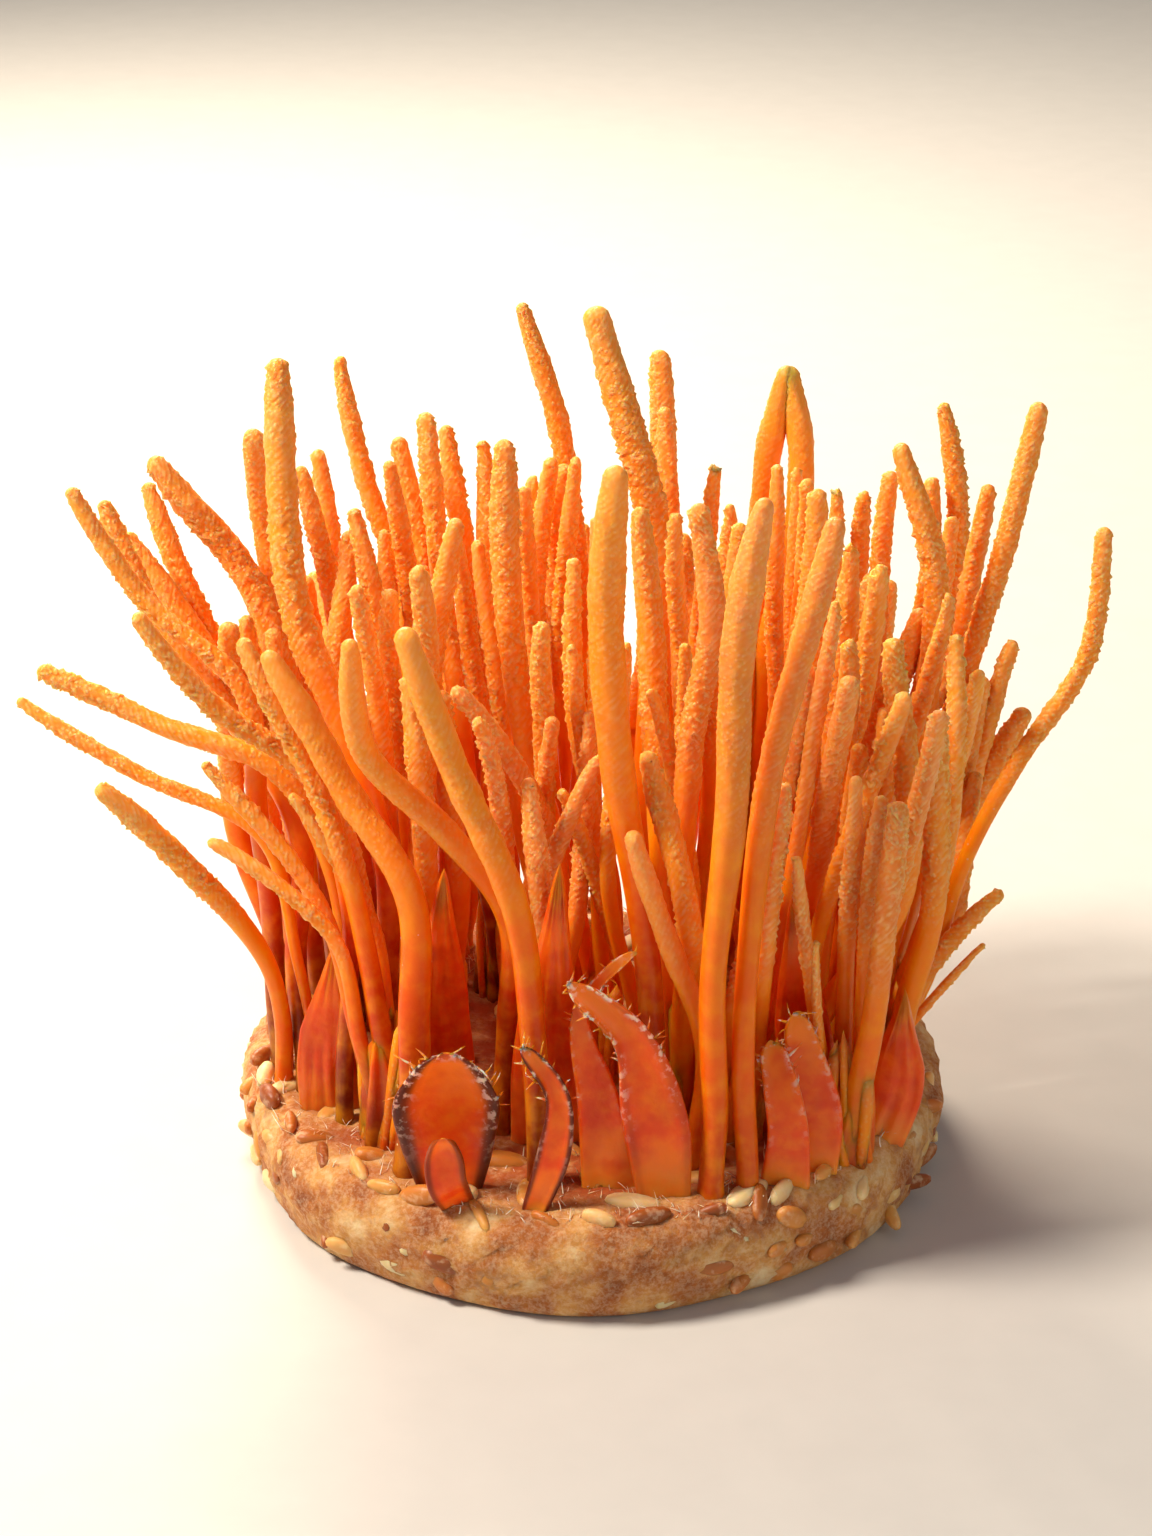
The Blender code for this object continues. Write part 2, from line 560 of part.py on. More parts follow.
def back_tufts(rng):
    """Stems of the hidden side, kept below what the photo shows of the sky line."""
    stems = []
    for name, (angle, reach) in BACK_TUFTS.items():
        angle = math.radians(angle)
        centre = reach * np.array([math.cos(angle), math.sin(angle)])
        stems.append(trunk_stem("tuft_" + name, centre, BACK_TUFT_STEMS, rng))
        for i, place in enumerate(tuft_feet(centre, BACK_TUFT_STEMS)):
            fan = angle + BACK_FAN * (i / (BACK_TUFT_STEMS - 1) - 0.5) + rng.normal(0, 0.1)
            lean = rng.uniform(*BACK_LEANS)
            height = rng.uniform(*BACK_HEIGHTS)
            out = np.array([math.cos(fan), math.sin(fan), 0.0])
            tip = below_limit(place + out * lean * height + np.array([0, 0, height]))
            wander = rng.normal(0, BACK_WANDER, 3) * np.array([1, 1, 0.2])
            low = place * (1 - BACK_LOW_SHARE) + tip * BACK_LOW_SHARE - out * BACK_BOW
            high = place * (1 - BACK_HIGH_SHARE) + tip * BACK_HIGH_SHARE + wander
            width = BACK_WIDTH * rng.uniform(*BACK_WIDTH_RANGE)
            stems.append(new_stem("tuft_" + name, [tip, high, low, place], width * BACK_SWELL,
                                  width, SLIM_SIDES, GIVE_FILLING, fused_height=FUSED_HEIGHT))
    return stems


def across(rings):
    """For each ring, the sideways direction that faces the camera, and the tangent."""
    tangent = np.gradient(rings, axis=0)
    tangent /= np.linalg.norm(tangent, axis=1)[:, None]
    side = np.cross(tangent, forward)
    side /= np.linalg.norm(side, axis=1)[:, None]
    return side, tangent


def sample_table(stems):
    """Sample discs down every stem, as shares of two neighbouring rings."""
    table = {key: [] for key in ("low", "share", "radius", "stem", "side", "give")}
    first = 0
    for index, stem in enumerate(stems):
        rings = stem["rings"]
        side, _ = across(rings)
        for k in range(len(rings) - 1):
            span = np.linalg.norm(rings[k + 1] - rings[k])
            steps = max(1, int(math.ceil(span / SAMPLE_STEP)))
            for t in np.arange(steps) / steps:
                radius = stem["radius"][k] * (1 - t) + stem["radius"][k + 1] * t
                half = stem["half_width"][k] * (1 - t) + stem["half_width"][k + 1] * t
                reach = max(0.0, half - radius)
                strands = 1 + 2 * int(math.ceil(reach / (radius * 1.2)))
                for offset in np.linspace(-reach, reach, strands):
                    table["low"].append(first + k)
                    table["share"].append(t)
                    table["radius"].append(radius)
                    table["stem"].append(index)
                    table["side"].append(side[k] * offset)
                    table["give"].append(stem["give"])
        table["low"].append(first + len(rings) - 2)
        table["share"].append(1.0)
        table["radius"].append(stem["radius"][-1])
        table["stem"].append(index)
        table["side"].append(side[-1] * 0)
        table["give"].append(stem["give"])
        first += len(rings)
    return {key: np.array(values) for key, values in table.items()}


def near_pairs(places, table, group, fused_height, reach):
    """Pairs of samples of different stems that are closer than their radii plus a reach."""
    order = np.argsort(places[:, 2])
    heights = places[order, 2]
    first, second = [], []
    for start in range(0, len(order), SEARCH_BLOCK):
        rows = order[start:start + SEARCH_BLOCK]
        top = heights[min(start + SEARCH_BLOCK, len(order)) - 1] + WIDEST_SAMPLE + reach
        end = np.searchsorted(heights, top + SEARCH_HEIGHT)
        others = order[start:end]
        gap = np.linalg.norm(places[rows][:, None] - places[others][None], axis=2)
        need = table["radius"][rows][:, None] + table["radius"][others][None] + CLEARANCE + reach
        hit = (gap < need) & (table["stem"][rows][:, None] != table["stem"][others][None])
        a, b = np.nonzero(hit)
        a, b = rows[a], others[b]
        one, two = table["stem"][a], table["stem"][b]
        fused = group[one] == group[two]
        fused &= np.minimum(places[a, 2], places[b, 2]) < np.maximum(fused_height[one], fused_height[two])
        keep = ~fused
        first.append(a[keep])
        second.append(b[keep])
    first = np.concatenate(first)
    second = np.concatenate(second)
    low = np.minimum(first, second)
    high = np.maximum(first, second)
    pairs = np.unique(np.column_stack([low, high]), axis=0)
    return pairs[:, 0], pairs[:, 1]


def make_room(stems):
    """Pushes crowded stems apart, mostly along the line of sight, until none touch.

    The feet of one tuft move together, and so do a stem's tip and its first ring.
    """
    rings = np.vstack([stem["rings"] for stem in stems])
    counts = [len(stem["rings"]) for stem in stems]
    starts = np.concatenate([[0], np.cumsum(counts)])
    feet = starts[1:] - 1
    tips = starts[:-1]
    names = sorted({stem["node"] for stem in stems})
    group = np.array([names.index(stem["node"]) for stem in stems])
    together = (group[:, None] == group[None]).astype(float)
    together /= together.sum(axis=1)[:, None]
    fused_height = np.array([stem["fused_height"] for stem in stems])
    foot_levels = rings[feet, 2].copy()
    table = sample_table(stems)
    same_stem = np.ones(len(rings), bool)
    same_stem[feet] = False
    low, share = table["low"], table["share"]
    for turn in range(ROUNDS):
        places = rings[low] * (1 - share)[:, None] + rings[low + 1] * share[:, None] + table["side"]
        if turn % SEARCH_EVERY == 0:
            a, b = near_pairs(places, table, group, fused_height, SEARCH_REACH)
        apart = places[a] - places[b]
        gap = np.linalg.norm(apart, axis=1) + 1e-9
        short = table["radius"][a] + table["radius"][b] + CLEARANCE + SAFETY - gap
        tight = short > 0
        if not tight.any():
            break
        i, j = a[tight], b[tight]
        push = apart[tight] / gap[tight][:, None]
        view = push @ forward
        lateral = push - view[:, None] * forward
        ease = min(1.0, FIRST_SIDE_PUSH + turn / ROUNDS)
        bias = max(0.0, FIRST_VIEW_PUSH - turn / ROUNDS)
        push = lateral * ease + (view + bias * np.sign(view + 1e-6))[:, None] * forward
        push /= np.linalg.norm(push, axis=1)[:, None]
        weight = table["give"][i] + table["give"][j]
        move_i = push * (short[tight] * table["give"][i] / weight)[:, None]
        move_j = -push * (short[tight] * table["give"][j] / weight)[:, None]
        total = np.zeros_like(rings)
        share_sum = np.zeros(len(rings))
        for index, move in ((i, move_i), (j, move_j)):
            for ring, part in ((low[index], 1 - share[index]), (low[index] + 1, share[index])):
                np.add.at(total, ring, move * part[:, None])
                np.add.at(share_sum, ring, part)
        step = total / np.maximum(share_sum, 1.0)[:, None] * STEP_GAIN
        if turn < ROUNDS * SMOOTH_UNTIL:
            smooth = step.copy()
            joined = same_stem[:-1][:, None]
            smooth[1:] += SMOOTH_SHARE * step[:-1] * joined
            smooth[:-1] += SMOOTH_SHARE * step[1:] * joined
            step = smooth / (1 + SMOOTH_SHARE)
        tip_step = (step[tips] + step[tips + 1]) / 2
        step[tips] = tip_step
        step[tips + 1] = tip_step
        step[feet] = together @ step[feet]
        rings += step
        rings[feet, 2] = foot_levels
        middle = together @ rings[feet, :2]
        reach = np.linalg.norm(middle, axis=1)
        excess = np.maximum(0.0, reach - FOOT_LIMIT + 1.0)
        rings[feet, :2] -= middle * (excess / reach)[:, None]
    for index, stem in enumerate(stems):
        stem["rings"] = rings[starts[index]:starts[index + 1]]


def new_material(name, colour, roughness):
    material = bpy.data.materials.new(name)
    material.use_nodes = True
    shader = material.node_tree.nodes["Principled BSDF"]
    shader.inputs["Base Color"].default_value = (*colour, 1.0)
    shader.inputs["Roughness"].default_value = roughness
    shader.inputs["Metallic"].default_value = 0.0
    return material


def new_object(name, mesh, material):
    mesh.materials.append(material)
    body = bpy.data.objects.new(name, mesh)
    bpy.context.collection.objects.link(body)
    mesh.shade_smooth()
    mesh.set_sharp_from_angle(angle=SHARP_ANGLE)
    return body


def stem_mesh(stem, name, number=0):
    """A closed tube through the stem's rings, with a pointed tip and a level foot."""
    rings = stem["rings"].copy()
    rings[-1, 2] += FOOT_STEP * number
    _, tangent = across(rings)
    sides = stem["sides"]
    work = bmesh.new()
    tip = work.verts.new(rings[0] * MM)
    loops = []
    for k in range(1, len(rings)):
        axis = tangent[k]
        side = np.cross(axis, forward)
        side /= np.linalg.norm(side)
        thick = np.cross(side, axis)
        if k == len(rings) - 1:
            side = np.array([1.0, 0.0, 0.0])
            thick = np.array([0.0, 1.0, 0.0])
        loop = []
        for s in range(sides):
            angle = 2 * math.pi * (s + 0.5) / sides
            point = rings[k] + side * stem["half_width"][k] * math.cos(angle)
            point = point + thick * stem["radius"][k] * math.sin(angle)
            loop.append(work.verts.new(point * MM))
        loops.append(loop)
    for s in range(sides):
        work.faces.new((tip, loops[0][s], loops[0][(s + 1) % sides]))
    for upper, lower in zip(loops[:-1], loops[1:]):
        for s in range(sides):
            t = (s + 1) % sides
            work.faces.new((upper[s], lower[s], lower[t]))
            work.faces.new((upper[s], lower[t], upper[t]))
    work.faces.new(loops[-1])
    bmesh.ops.recalc_face_normals(work, faces=work.faces)
    mesh = bpy.data.meshes.new(name)
    work.to_mesh(mesh)
    work.free()
    return mesh


def build_node(name, stems, material):
    """One closed body: the first stem, with the others joined on by Boolean unions."""
    body = new_object(name, stem_mesh(stems[0], name), material)
    for number, stem in enumerate(stems[1:], 2):
        helper = new_object(f"{name}_join_{number}", stem_mesh(stem, name, number), material)
        helper.hide_render = True
        helper.display_type = "WIRE"
        join = body.modifiers.new(f"join {number}", "BOOLEAN")
        join.operation = "UNION"
        join.solver = "EXACT"
        join.object = helper
    if len(stems) > 1:
        weld = body.modifiers.new("weld slivers", "WELD")
        weld.merge_threshold = WELD_DISTANCE * MM


def build_cake(rng):
    """The cake: a turned disc with a soft uneven side, and swollen kernels round its rim."""
    work = bmesh.new()
    centre_low = work.verts.new((0, 0, 0))
    centre_top = work.verts.new((0, 0, CAKE_TOP * MM))
    loops = []
    for inset, height in CAKE_PROFILE:
        loop = []
        for s in range(CAKE_SIDES):
            angle = 2 * math.pi * s / CAKE_SIDES
            (slow, broad), (quick, fine) = CAKE_WAVES
            wave = broad * math.sin(slow * angle + WAVE_START) + fine * math.sin(quick * angle + height)
            reach = CAKE_RADIUS - inset + wave + (rng.normal(0, CAKE_SCATTER) if height > 0 else 0.0)
            level = height + (rng.normal(0, LEVEL_SCATTER) if 0 < height < CAKE_TOP else 0.0)
            place = (reach * math.cos(angle), reach * math.sin(angle), level)
            loop.append(work.verts.new(np.array(place) * MM))
        loops.append(loop)
    for s in range(CAKE_SIDES):
        t = (s + 1) % CAKE_SIDES
        work.faces.new((centre_low, loops[0][t], loops[0][s]))
        work.faces.new((centre_top, loops[-1][s], loops[-1][t]))
        for low, high in zip(loops[:-1], loops[1:]):
            work.faces.new((low[s], low[t], high[t]))
            work.faces.new((low[s], high[t], high[s]))
    bmesh.ops.recalc_face_normals(work, faces=work.faces)
    mesh = bpy.data.meshes.new("substrate_cake")
    work.to_mesh(mesh)
    work.free()
    material = new_material("grain_cake", CAKE_COLOUR, CAKE_ROUGHNESS)
    body = new_object("substrate_cake", mesh, material)
    for number in range(RIM_KERNELS):
        angle = 2 * math.pi * (number + rng.uniform(-0.3, 0.3)) / RIM_KERNELS
        helper = kernel(f"kernel_{number}", angle, rng, material)
        join = body.modifiers.new(f"kernel {number}", "BOOLEAN")
        join.operation = "UNION"
        join.solver = "EXACT"
        join.object = helper
    merge = body.modifiers.new("merge flat faces", "DECIMATE")
    merge.decimate_type = "DISSOLVE"
    merge.angle_limit = FLAT_ANGLE


def kernel(name, angle, rng, material):
    """A swollen grain lying half sunk in the cake's rounded shoulder."""
    work = bmesh.new()
    bmesh.ops.create_uvsphere(work, u_segments=6, v_segments=4, radius=0.5)
    bmesh.ops.scale(work, vec=(KERNEL_WIDTH * MM, KERNEL_WIDTH * MM, KERNEL_LENGTH * MM), verts=work.verts)
    mesh = bpy.data.meshes.new(name)
    work.to_mesh(mesh)
    work.free()
    helper = new_object(name, mesh, material)
    height = CAKE_TOP - rng.uniform(*KERNEL_DEPTHS)
    reach = CAKE_RADIUS - KERNEL_INSET
    helper.location = (reach * math.cos(angle) * MM, reach * math.sin(angle) * MM, height * MM)
    helper.rotation_euler = (math.radians(90) + rng.normal(0, 0.3), 0, angle + rng.normal(0, 0.7))
    helper.hide_render = True
    helper.display_type = "WIRE"
    return helper


def colour_of(name):
    for word, colour in STALK_COLOURS.items():
        if word in name:
            return colour
    return STALK_COLOURS["inner"]


def main():
    for old in list(bpy.data.objects):
        bpy.data.objects.remove(old, do_unlink=True)
    rng = np.random.default_rng(SEED)
    stems = traced_singles() + fork_stems() + traced_tufts(rng) + blade_stems() + back_tufts(rng)
    make_room(stems)
    nodes = {}
    for stem in stems:
        nodes.setdefault(stem["node"], []).append(stem)
    for name, members in nodes.items():
        build_node(name, members, new_material("flesh_" + name, colour_of(name), FLESH_ROUGHNESS))
    build_cake(rng)


main()
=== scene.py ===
"""The looks of the cordyceps bunch: clubs with granular heads, flattened clubs and the grain cake.

Each club's middle line and thickness are read from the rings of its CAD solid, so every
modelled club stays where its solid is. Lengths are metres, with MM for millimetres.
"""

import math

import bpy
import json
import numpy as np
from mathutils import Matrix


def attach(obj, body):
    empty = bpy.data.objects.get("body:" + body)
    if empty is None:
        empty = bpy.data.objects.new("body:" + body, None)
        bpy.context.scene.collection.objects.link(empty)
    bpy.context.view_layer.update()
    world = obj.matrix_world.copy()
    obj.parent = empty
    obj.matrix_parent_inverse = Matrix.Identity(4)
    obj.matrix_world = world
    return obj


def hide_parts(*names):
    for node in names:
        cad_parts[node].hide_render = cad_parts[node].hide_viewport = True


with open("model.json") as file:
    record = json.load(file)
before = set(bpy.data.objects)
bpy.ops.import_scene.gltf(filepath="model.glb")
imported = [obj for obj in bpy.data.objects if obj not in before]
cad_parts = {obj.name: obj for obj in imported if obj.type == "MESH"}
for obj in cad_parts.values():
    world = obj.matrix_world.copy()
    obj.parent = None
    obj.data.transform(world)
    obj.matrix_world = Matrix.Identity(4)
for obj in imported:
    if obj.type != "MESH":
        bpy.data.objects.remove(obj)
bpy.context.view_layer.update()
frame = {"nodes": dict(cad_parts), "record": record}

MM = 0.001
SEED = 11
FULL_TURN = 2 * math.pi

# The cake and the level of the clubs' feet, as the CAD has them; drawn clubs reach down by FOOT_DEPTH
CAKE_RADIUS = 36.0 * MM
CAKE_TOP = 10.0 * MM
FOOT_LEVEL = 10.3 * MM
FOOT_DEPTH = 1.2 * MM
FOOT_MARGIN = 0.1 * MM
FOOT_BAND = 0.5 * MM
CLUMP_REACH = 2.4 * MM

# How the CAD's clubs are told apart: points round a club, how far the first ring lies from the
# tip, how much wider a ring may be than the last, and nodes whose two stalks are one at the top
CLUB_SIDES = (5, 6, 8)
LOWEST_TIP = 18.0 * MM
LOWEST_TUFT_TIP = 25.0 * MM
TIP_REACH = 2.6 * MM
WIDEST_STEP = 1.7
JOINING_LEVEL = 21.0 * MM
ABOVE_JOINING = 3.0 * MM
ABOVE_FOOT = 1.5 * MM
FOOT_WIDENING = 1.1
SAME_POINT = 0.002 * MM
SAME_END = 0.01 * MM
TINY = 1e-6
VANISHING = 1e-12
TWIN_NODES = ("stem_back_fork",)
TWIN_CUTS = 9
TWIN_TOP_GAP = 0.4 * MM
# Where the two are one: how far each middle lies aside, and each half width, as shares of the whole
TWIN_ASIDE = 0.4
TWIN_WIDTH = 0.62

# A club's mesh
BROAD_SIDES = 22
SLIM_SIDES = 16
BROAD_RADIUS = 1.0 * MM
HEAD_STEP = 0.36 * MM
STALK_STEP = 0.85 * MM
TIP_STEPS = 6
CURVE_STEPS = 12

# A club's shape: a first ring of the CAD is this share of the full radius
FIRST_RING_SHARE = 0.85
TIP_SHARES = (0.5, 0.8)
TAPER_LENGTH = 8.0 * MM
FOOT_FLARE = 0.22
FLARE_LENGTH = 3.0 * MM
HEAD_SHARE = 0.46
HEAD_FADE = (0.12, 0.06)
BEND_SHARE = 0.3
BEND_LENGTH = 7.0 * MM
BEND_FADE = 9.0 * MM
SWELLING = 0.10
KNOBS = 0.10
KNOBS_ALONG = 3.2
KNOBS_ROUND = 2
RIB_COUNT = 3
RIB_HEIGHT = 0.03
RIB_TWIST = 0.5
RIB_PHASES = (0, 6)

# Seeded undulation: its length, and the ranges that its rates, turns and phases are drawn from
WAVE_LENGTH = 6.0 * MM
WAVE_RATES = (0.3, 1.0)
WAVE_TURNS = (0, 4)
WAVE_PHASES = (0, 6.28)

# A head's granules: every second point stands out, and patches have more of them
GRANULE_HEIGHT = 0.30 * MM
GRANULE_STAND = 0.55
GRANULE_SINK = 0.45
GRANULE_SLIP = 0.06 * MM
GRANULE_TURN = 0.6
GRANULE_GROWTH = 1.4
LEAST_GROWN = 0.15
PATCH_MEAN = 0.8
PATCH_SWING = 0.9
PATCH_RATE = 0.9
PATCH_RANGE = (0.25, 1.3)

# A tuft's trunk and the young clubs round it
TRUNK_SIDES = 40
TRUNK_ROWS = 26
TRUNK_HEIGHT = 11.5 * MM
TRUNK_LEAN = 0.06
TRUNK_OUTLINE = ((0, 0.08, 0.25, 0.55, 0.8, 1), (0, 0.3, 0.55, 0.82, 0.96, 1.06))
TRUNK_FOLDS = 6
TRUNK_FOLD_HEIGHT = 0.14
TRUNK_TWIST = 2.2
TRUNK_TOP_TONE = 0.62
BUDS = 16
BUD_LENGTHS = (3.5 * MM, 14.0 * MM)
BUD_RADII = (0.4 * MM, 0.8 * MM)
BUD_ROWS = 10
BUD_SIDES = 9
BUD_PLACES = (0.75, 1.0)
BUD_SCATTER = 0.13
BUD_LEAN = 0.05
BUD_CURL = -0.12
BUD_TONES = (0.12, 0.85)
BUD_GRANULES = 0.25

# Outlines of hairs, frills and young clubs from the tip down, as shares of length and of radius
POINTED = ((0, 0.25, 0.5, 1), (0, 0.6, 0.85, 1))
BUD_OUTLINE = ((0, 0.05, 0.13, 0.35, 0.7, 1), (0, 0.7, 1, 1, 0.8, 1.05))
ASKEW = (0.3, 0.5, 0.81)

# A flattened club
BLADE_SIDES = 36
BLADE_STEP = 0.45 * MM
BLADE_CURVE_STEPS = 16
BLADE_TIP_SHARE = 0.12
BLADE_TIP_STEPS = 10
BLADE_CAP_SHARE = 0.10
BLADE_TOP_WIDTH = 0.5
THINNEST_TOP = 0.05
SPEAR_OUTLINE = ((0, 0.5, 1), (0.3, 0.9, 1))
MIDDLE_THICKNESS = 0.36
WEB_BREADTH = 1.08
GROOVE_THICKNESS = 0.35
STALK_THICKNESS = 0.75
STALK_WANDER = 0.12
CUP_END = 1.6
FROST_FADE = (1.25, 1.6)
BLADE_FOLDS = 0.08
BLADE_RIPPLE = 0.25 * MM
RIM_START = 0.6
RIM_BREADTH = 0.2
RIM_TOP_SHARE = 0.08
FRILLS = 30
FRILL_PLACES = (0.03, 0.42)
FRILL_LENGTHS = (0.5 * MM, 1.5 * MM)
FRILL_RADII = (0.07 * MM, 0.15 * MM)
FRILL_RISE = 0.7
FRILL_SCATTER = 0.35
FRILL_DEPTH = 0.2 * MM

# The cake's mesh; its profile is given in millimetres from the middle and above the floor
CAKE_SIDES = 220
CAKE_LEDGE = (32.5, 40)
CAKE_WALL = (
    (33.6, 9.9), (34.5, 9.5), (35.2, 8.9), (35.6, 8.2), (35.8, 7.4), (35.9, 6.6), (36.0, 5.8), (36.0, 5.0),
    (36.0, 4.2), (35.9, 3.4), (35.8, 2.6), (35.6, 1.8), (35.3, 1.0), (34.9, 0.4), (34.3, 0.0))
CAKE_UNDERSIDE = ((30.0, 0.0), (20.0, 0.0), (10.0, 0.0), (3.0, 0.0))
CAKE_SHOULDER = 33.0 * MM
CAKE_GRAIN = 0.13 * MM
CAKE_LUMPS = 0.45 * MM
CAKE_LUMPS_ROUND = 6
CAKE_LUMP_REACH = 7.0 * MM
CAKE_LUMP_RISE = 3.0 * MM
CAKE_FLAT_BELOW = 1.2 * MM
CAKE_FLAT_WITHIN = 3.0 * MM
CAKE_RISE_ON_TOP = 0.8
CAKE_RISE_ON_SIDE = 0.4
CAKE_WAVES = ((0.5, 3, 0.6), (0.35, 7, 0.0))
CAKE_STAIN_FADE = 5.0 * MM

# Kernels: rings of them on the cake's side as reach, level and count, and a spiral of them on its
# top. Their places and sizes are drawn in millimetres
KERNEL_RINGS = ((34.3, 9.8, 40), (35.5, 7.4, 42), (35.9, 4.8, 42), (35.7, 2.3, 40))
TOP_KERNELS = 70
TOP_KERNEL_REACH = (8.0, 25.0)
GOLDEN_ANGLE = 2.399963
KERNEL_ROWS = 9
KERNEL_SIDES = 12
CREASE_DEPTH = 0.22
CREASE_BREADTH = 0.35
KERNEL_FLATNESS = 0.85
KERNEL_FULLNESS = 0.85
SIDE_KERNEL_LENGTHS = (3.0, 5.0)
SIDE_KERNEL_WIDTHS = (1.5, 2.3)
SIDE_KERNEL_SCATTER = 0.5
SIDE_KERNEL_LEAN = (1, 1, 0.8)
SIDE_KERNEL_SLIPS = (-0.3, 0.3)
SIDE_KERNEL_DEPTH = 0.5
SIDE_KERNEL_REACHES = (-0.6, 0.2)
SIDE_KERNEL_LIFTS = (-0.5, 0.4)
TOP_KERNEL_LENGTHS = (4, 6)
TOP_KERNEL_WIDTHS = (2, 2.8)
TOP_KERNEL_DEPTH = 0.2 * MM
TOP_KERNEL_LEAN = (1, 1, 0.15)
LOWEST_KERNEL = 0.05 * MM

# Mycelium hairs on the cake's top; their band is given in shares of its radius
WOOL_HAIRS = 1400
WOOL_BAND = (0.55, 0.41)
WOOL_LENGTHS = (0.6 * MM, 1.7 * MM)
WOOL_RADII = (0.04 * MM, 0.09 * MM)
WOOL_SCATTER = 0.5
WOOL_DEPTH = 0.3 * MM
WOOL_BEND = (1, 1, 0.3)

# How clubs differ, by a word in the node's name: how granular a head is, which stalks carry
# specks, and a flattened club's rim, frost, hollow and ribs
GRANULES = {"front_tall": 0.45, "front_left": 0.4, "front_curved": 0.4, "back_fork": 0.35}
SPECKS = {"front_left_stout": 1.0, "right_front": 0.5, "right_far": 0.3}
DARK_RIMS = {"ear_front": 1.0, "ear_small": 0.8, "crescent": 1.0, "bent_broad": 0.35, "left_glow": 0.3}
FROST = {"ear_front": 0.9, "crescent": 0.8, "bent_broad": 1.0, "bent_arm": 0.5, "glow": 0.0, "right": 0.6}
CUPS = {"ear_front": 1.1 * MM, "ear_small": 0.6 * MM, "crescent": 0.5 * MM, "bent_broad": 0.7 * MM}
RIBS = {"glow": 5}

# The photo's camera: tilt, distance and aim are those that the CAD's routes were placed with
CAMERA_TILT = math.radians(24.4)
CAMERA_DISTANCE = 0.400
CAMERA_AIM = (-1.4 * MM, 0.0, 42.2 * MM)
FRAME_HEIGHT_AT_AIM = 153.6 * MM
SENSOR = 36.0
NEAREST_SEEN = 0.01

# The studio: each light's place, size in metres, power in watts and colour
FLOOR_REACH = 3.0
LIGHTS_AIM = (0.0, 0.0, 0.05)
LIGHTS = {
    "key": ((-0.30, -0.06, 0.42), 0.14, 3.5, "#FFF0DC"),
    "behind": ((-0.12, 0.36, 0.30), 0.20, 2.7, "#FFECD2"),
    "fill": ((0.35, -0.40, 0.22), 0.35, 0.55, "#FFF4EA"),
}
SKY_COLOUR = "#E9EBEE"
SKY_STRENGTH = 0.19

# Club colours by the record's material slot: the material's name, how deep light goes in
# millimetres, and the colours from the tip (0) to the foot (1)
FLESH = {
    # The left clubs and their trunks darken to brown-red towards the foot: painted shade
    "left_flesh": ("club_left_painted_foot_shade", 1.2, (
        (0.0, "#FFB04E"), (0.22, "#FF9A18"), (0.48, "#FC8000"), (0.68, "#DC4C00"), (0.86, "#8E2604"),
        (1.0, "#4A1002"))),
    "front_flesh": ("club_front_amber", 1.2, (
        (0.0, "#FBAA5C"), (0.25, "#E88C38"), (0.5, "#F08414"), (0.8, "#F46800"), (1.0, "#B83C04"))),
    "back_flesh": ("club_back_amber", 1.2, (
        (0.0, "#FFAE46"), (0.25, "#FF9A16"), (0.55, "#FC8400"), (0.8, "#F46400"), (1.0, "#D24A04"))),
    # The right clubs and their trunks turn a paler yellow towards the foot: painted glow
    "right_flesh": ("club_right_painted_foot_glow", 1.3, (
        (0.0, "#FFB04A"), (0.25, "#FF9C18"), (0.55, "#FF8C04"), (0.8, "#FF9408"), (1.0, "#FFBE1E"))),
    "inner_flesh": ("club_inner_gold", 1.4, (
        (0.0, "#FFB450"), (0.25, "#FFA01A"), (0.55, "#FF8E02"), (0.8, "#FC7200"), (1.0, "#F07406"))),
}

rng = np.random.default_rng(SEED)


def linear(code):
    """A hex colour as the eye sees it, turned into the linear values that shaders take."""
    parts = [int(code[i:i + 2], 16) / 255 for i in (1, 3, 5)]
    parts = [c / 12.92 if c <= 0.04045 else ((c + 0.055) / 1.055) ** 2.4 for c in parts]
    return (*parts, 1.0)


def add(tree, kind, settings=None, inputs=None):
    """Adds a node, sets its options, and gives each input a value or a link."""
    node = tree.nodes.new(kind)
    for name, value in (settings or {}).items():
        setattr(node, name, value)
    for name, value in (inputs or {}).items():
        if isinstance(value, bpy.types.NodeSocket):
            tree.links.new(value, node.inputs[name])
        else:
            node.inputs[name].default_value = value
    return node


def ramp(tree, factor, stops):
    """A colour ramp; stops are (place, hex colour)."""
    node = add(tree, "ShaderNodeValToRGB", inputs={"Fac": factor})
    points = node.color_ramp.elements
    for place, _ in stops[1:-1]:
        points.new(place)
    for point, (place, code) in zip(points, stops):
        point.position = place
        point.color = linear(code)
    return node.outputs["Color"]


def math_node(tree, operation, first, second=0.5):
    """The result of one operation on two values, each a number or a link."""
    return add(tree, "ShaderNodeMath", {"operation": operation}, {0: first, 1: second}).outputs[0]


def spread(tree, value, low, high):
    """Stretches the range low to high of a value to 0 to 1, with soft ends."""
    node = add(tree, "ShaderNodeMapRange", {"interpolation_type": "SMOOTHSTEP"},
               {"Value": value, "From Min": low, "From Max": high})
    return node.outputs["Result"]


def inverse(tree, value):
    """One minus a value."""
    return math_node(tree, "SUBTRACT", 1.0, value)


def blend(tree, factor, first, second):
    """Mixes two colours, each a colour or a link."""
    node = add(tree, "ShaderNodeMix", {"data_type": "RGBA"})
    for name, value in (("Factor", factor), ("A", first), ("B", second)):
        socket = [s for s in node.inputs if s.name == name and s.enabled][0]
        if isinstance(value, bpy.types.NodeSocket):
            tree.links.new(value, socket)
        else:
            socket.default_value = value
    return [s for s in node.outputs if s.enabled][0]


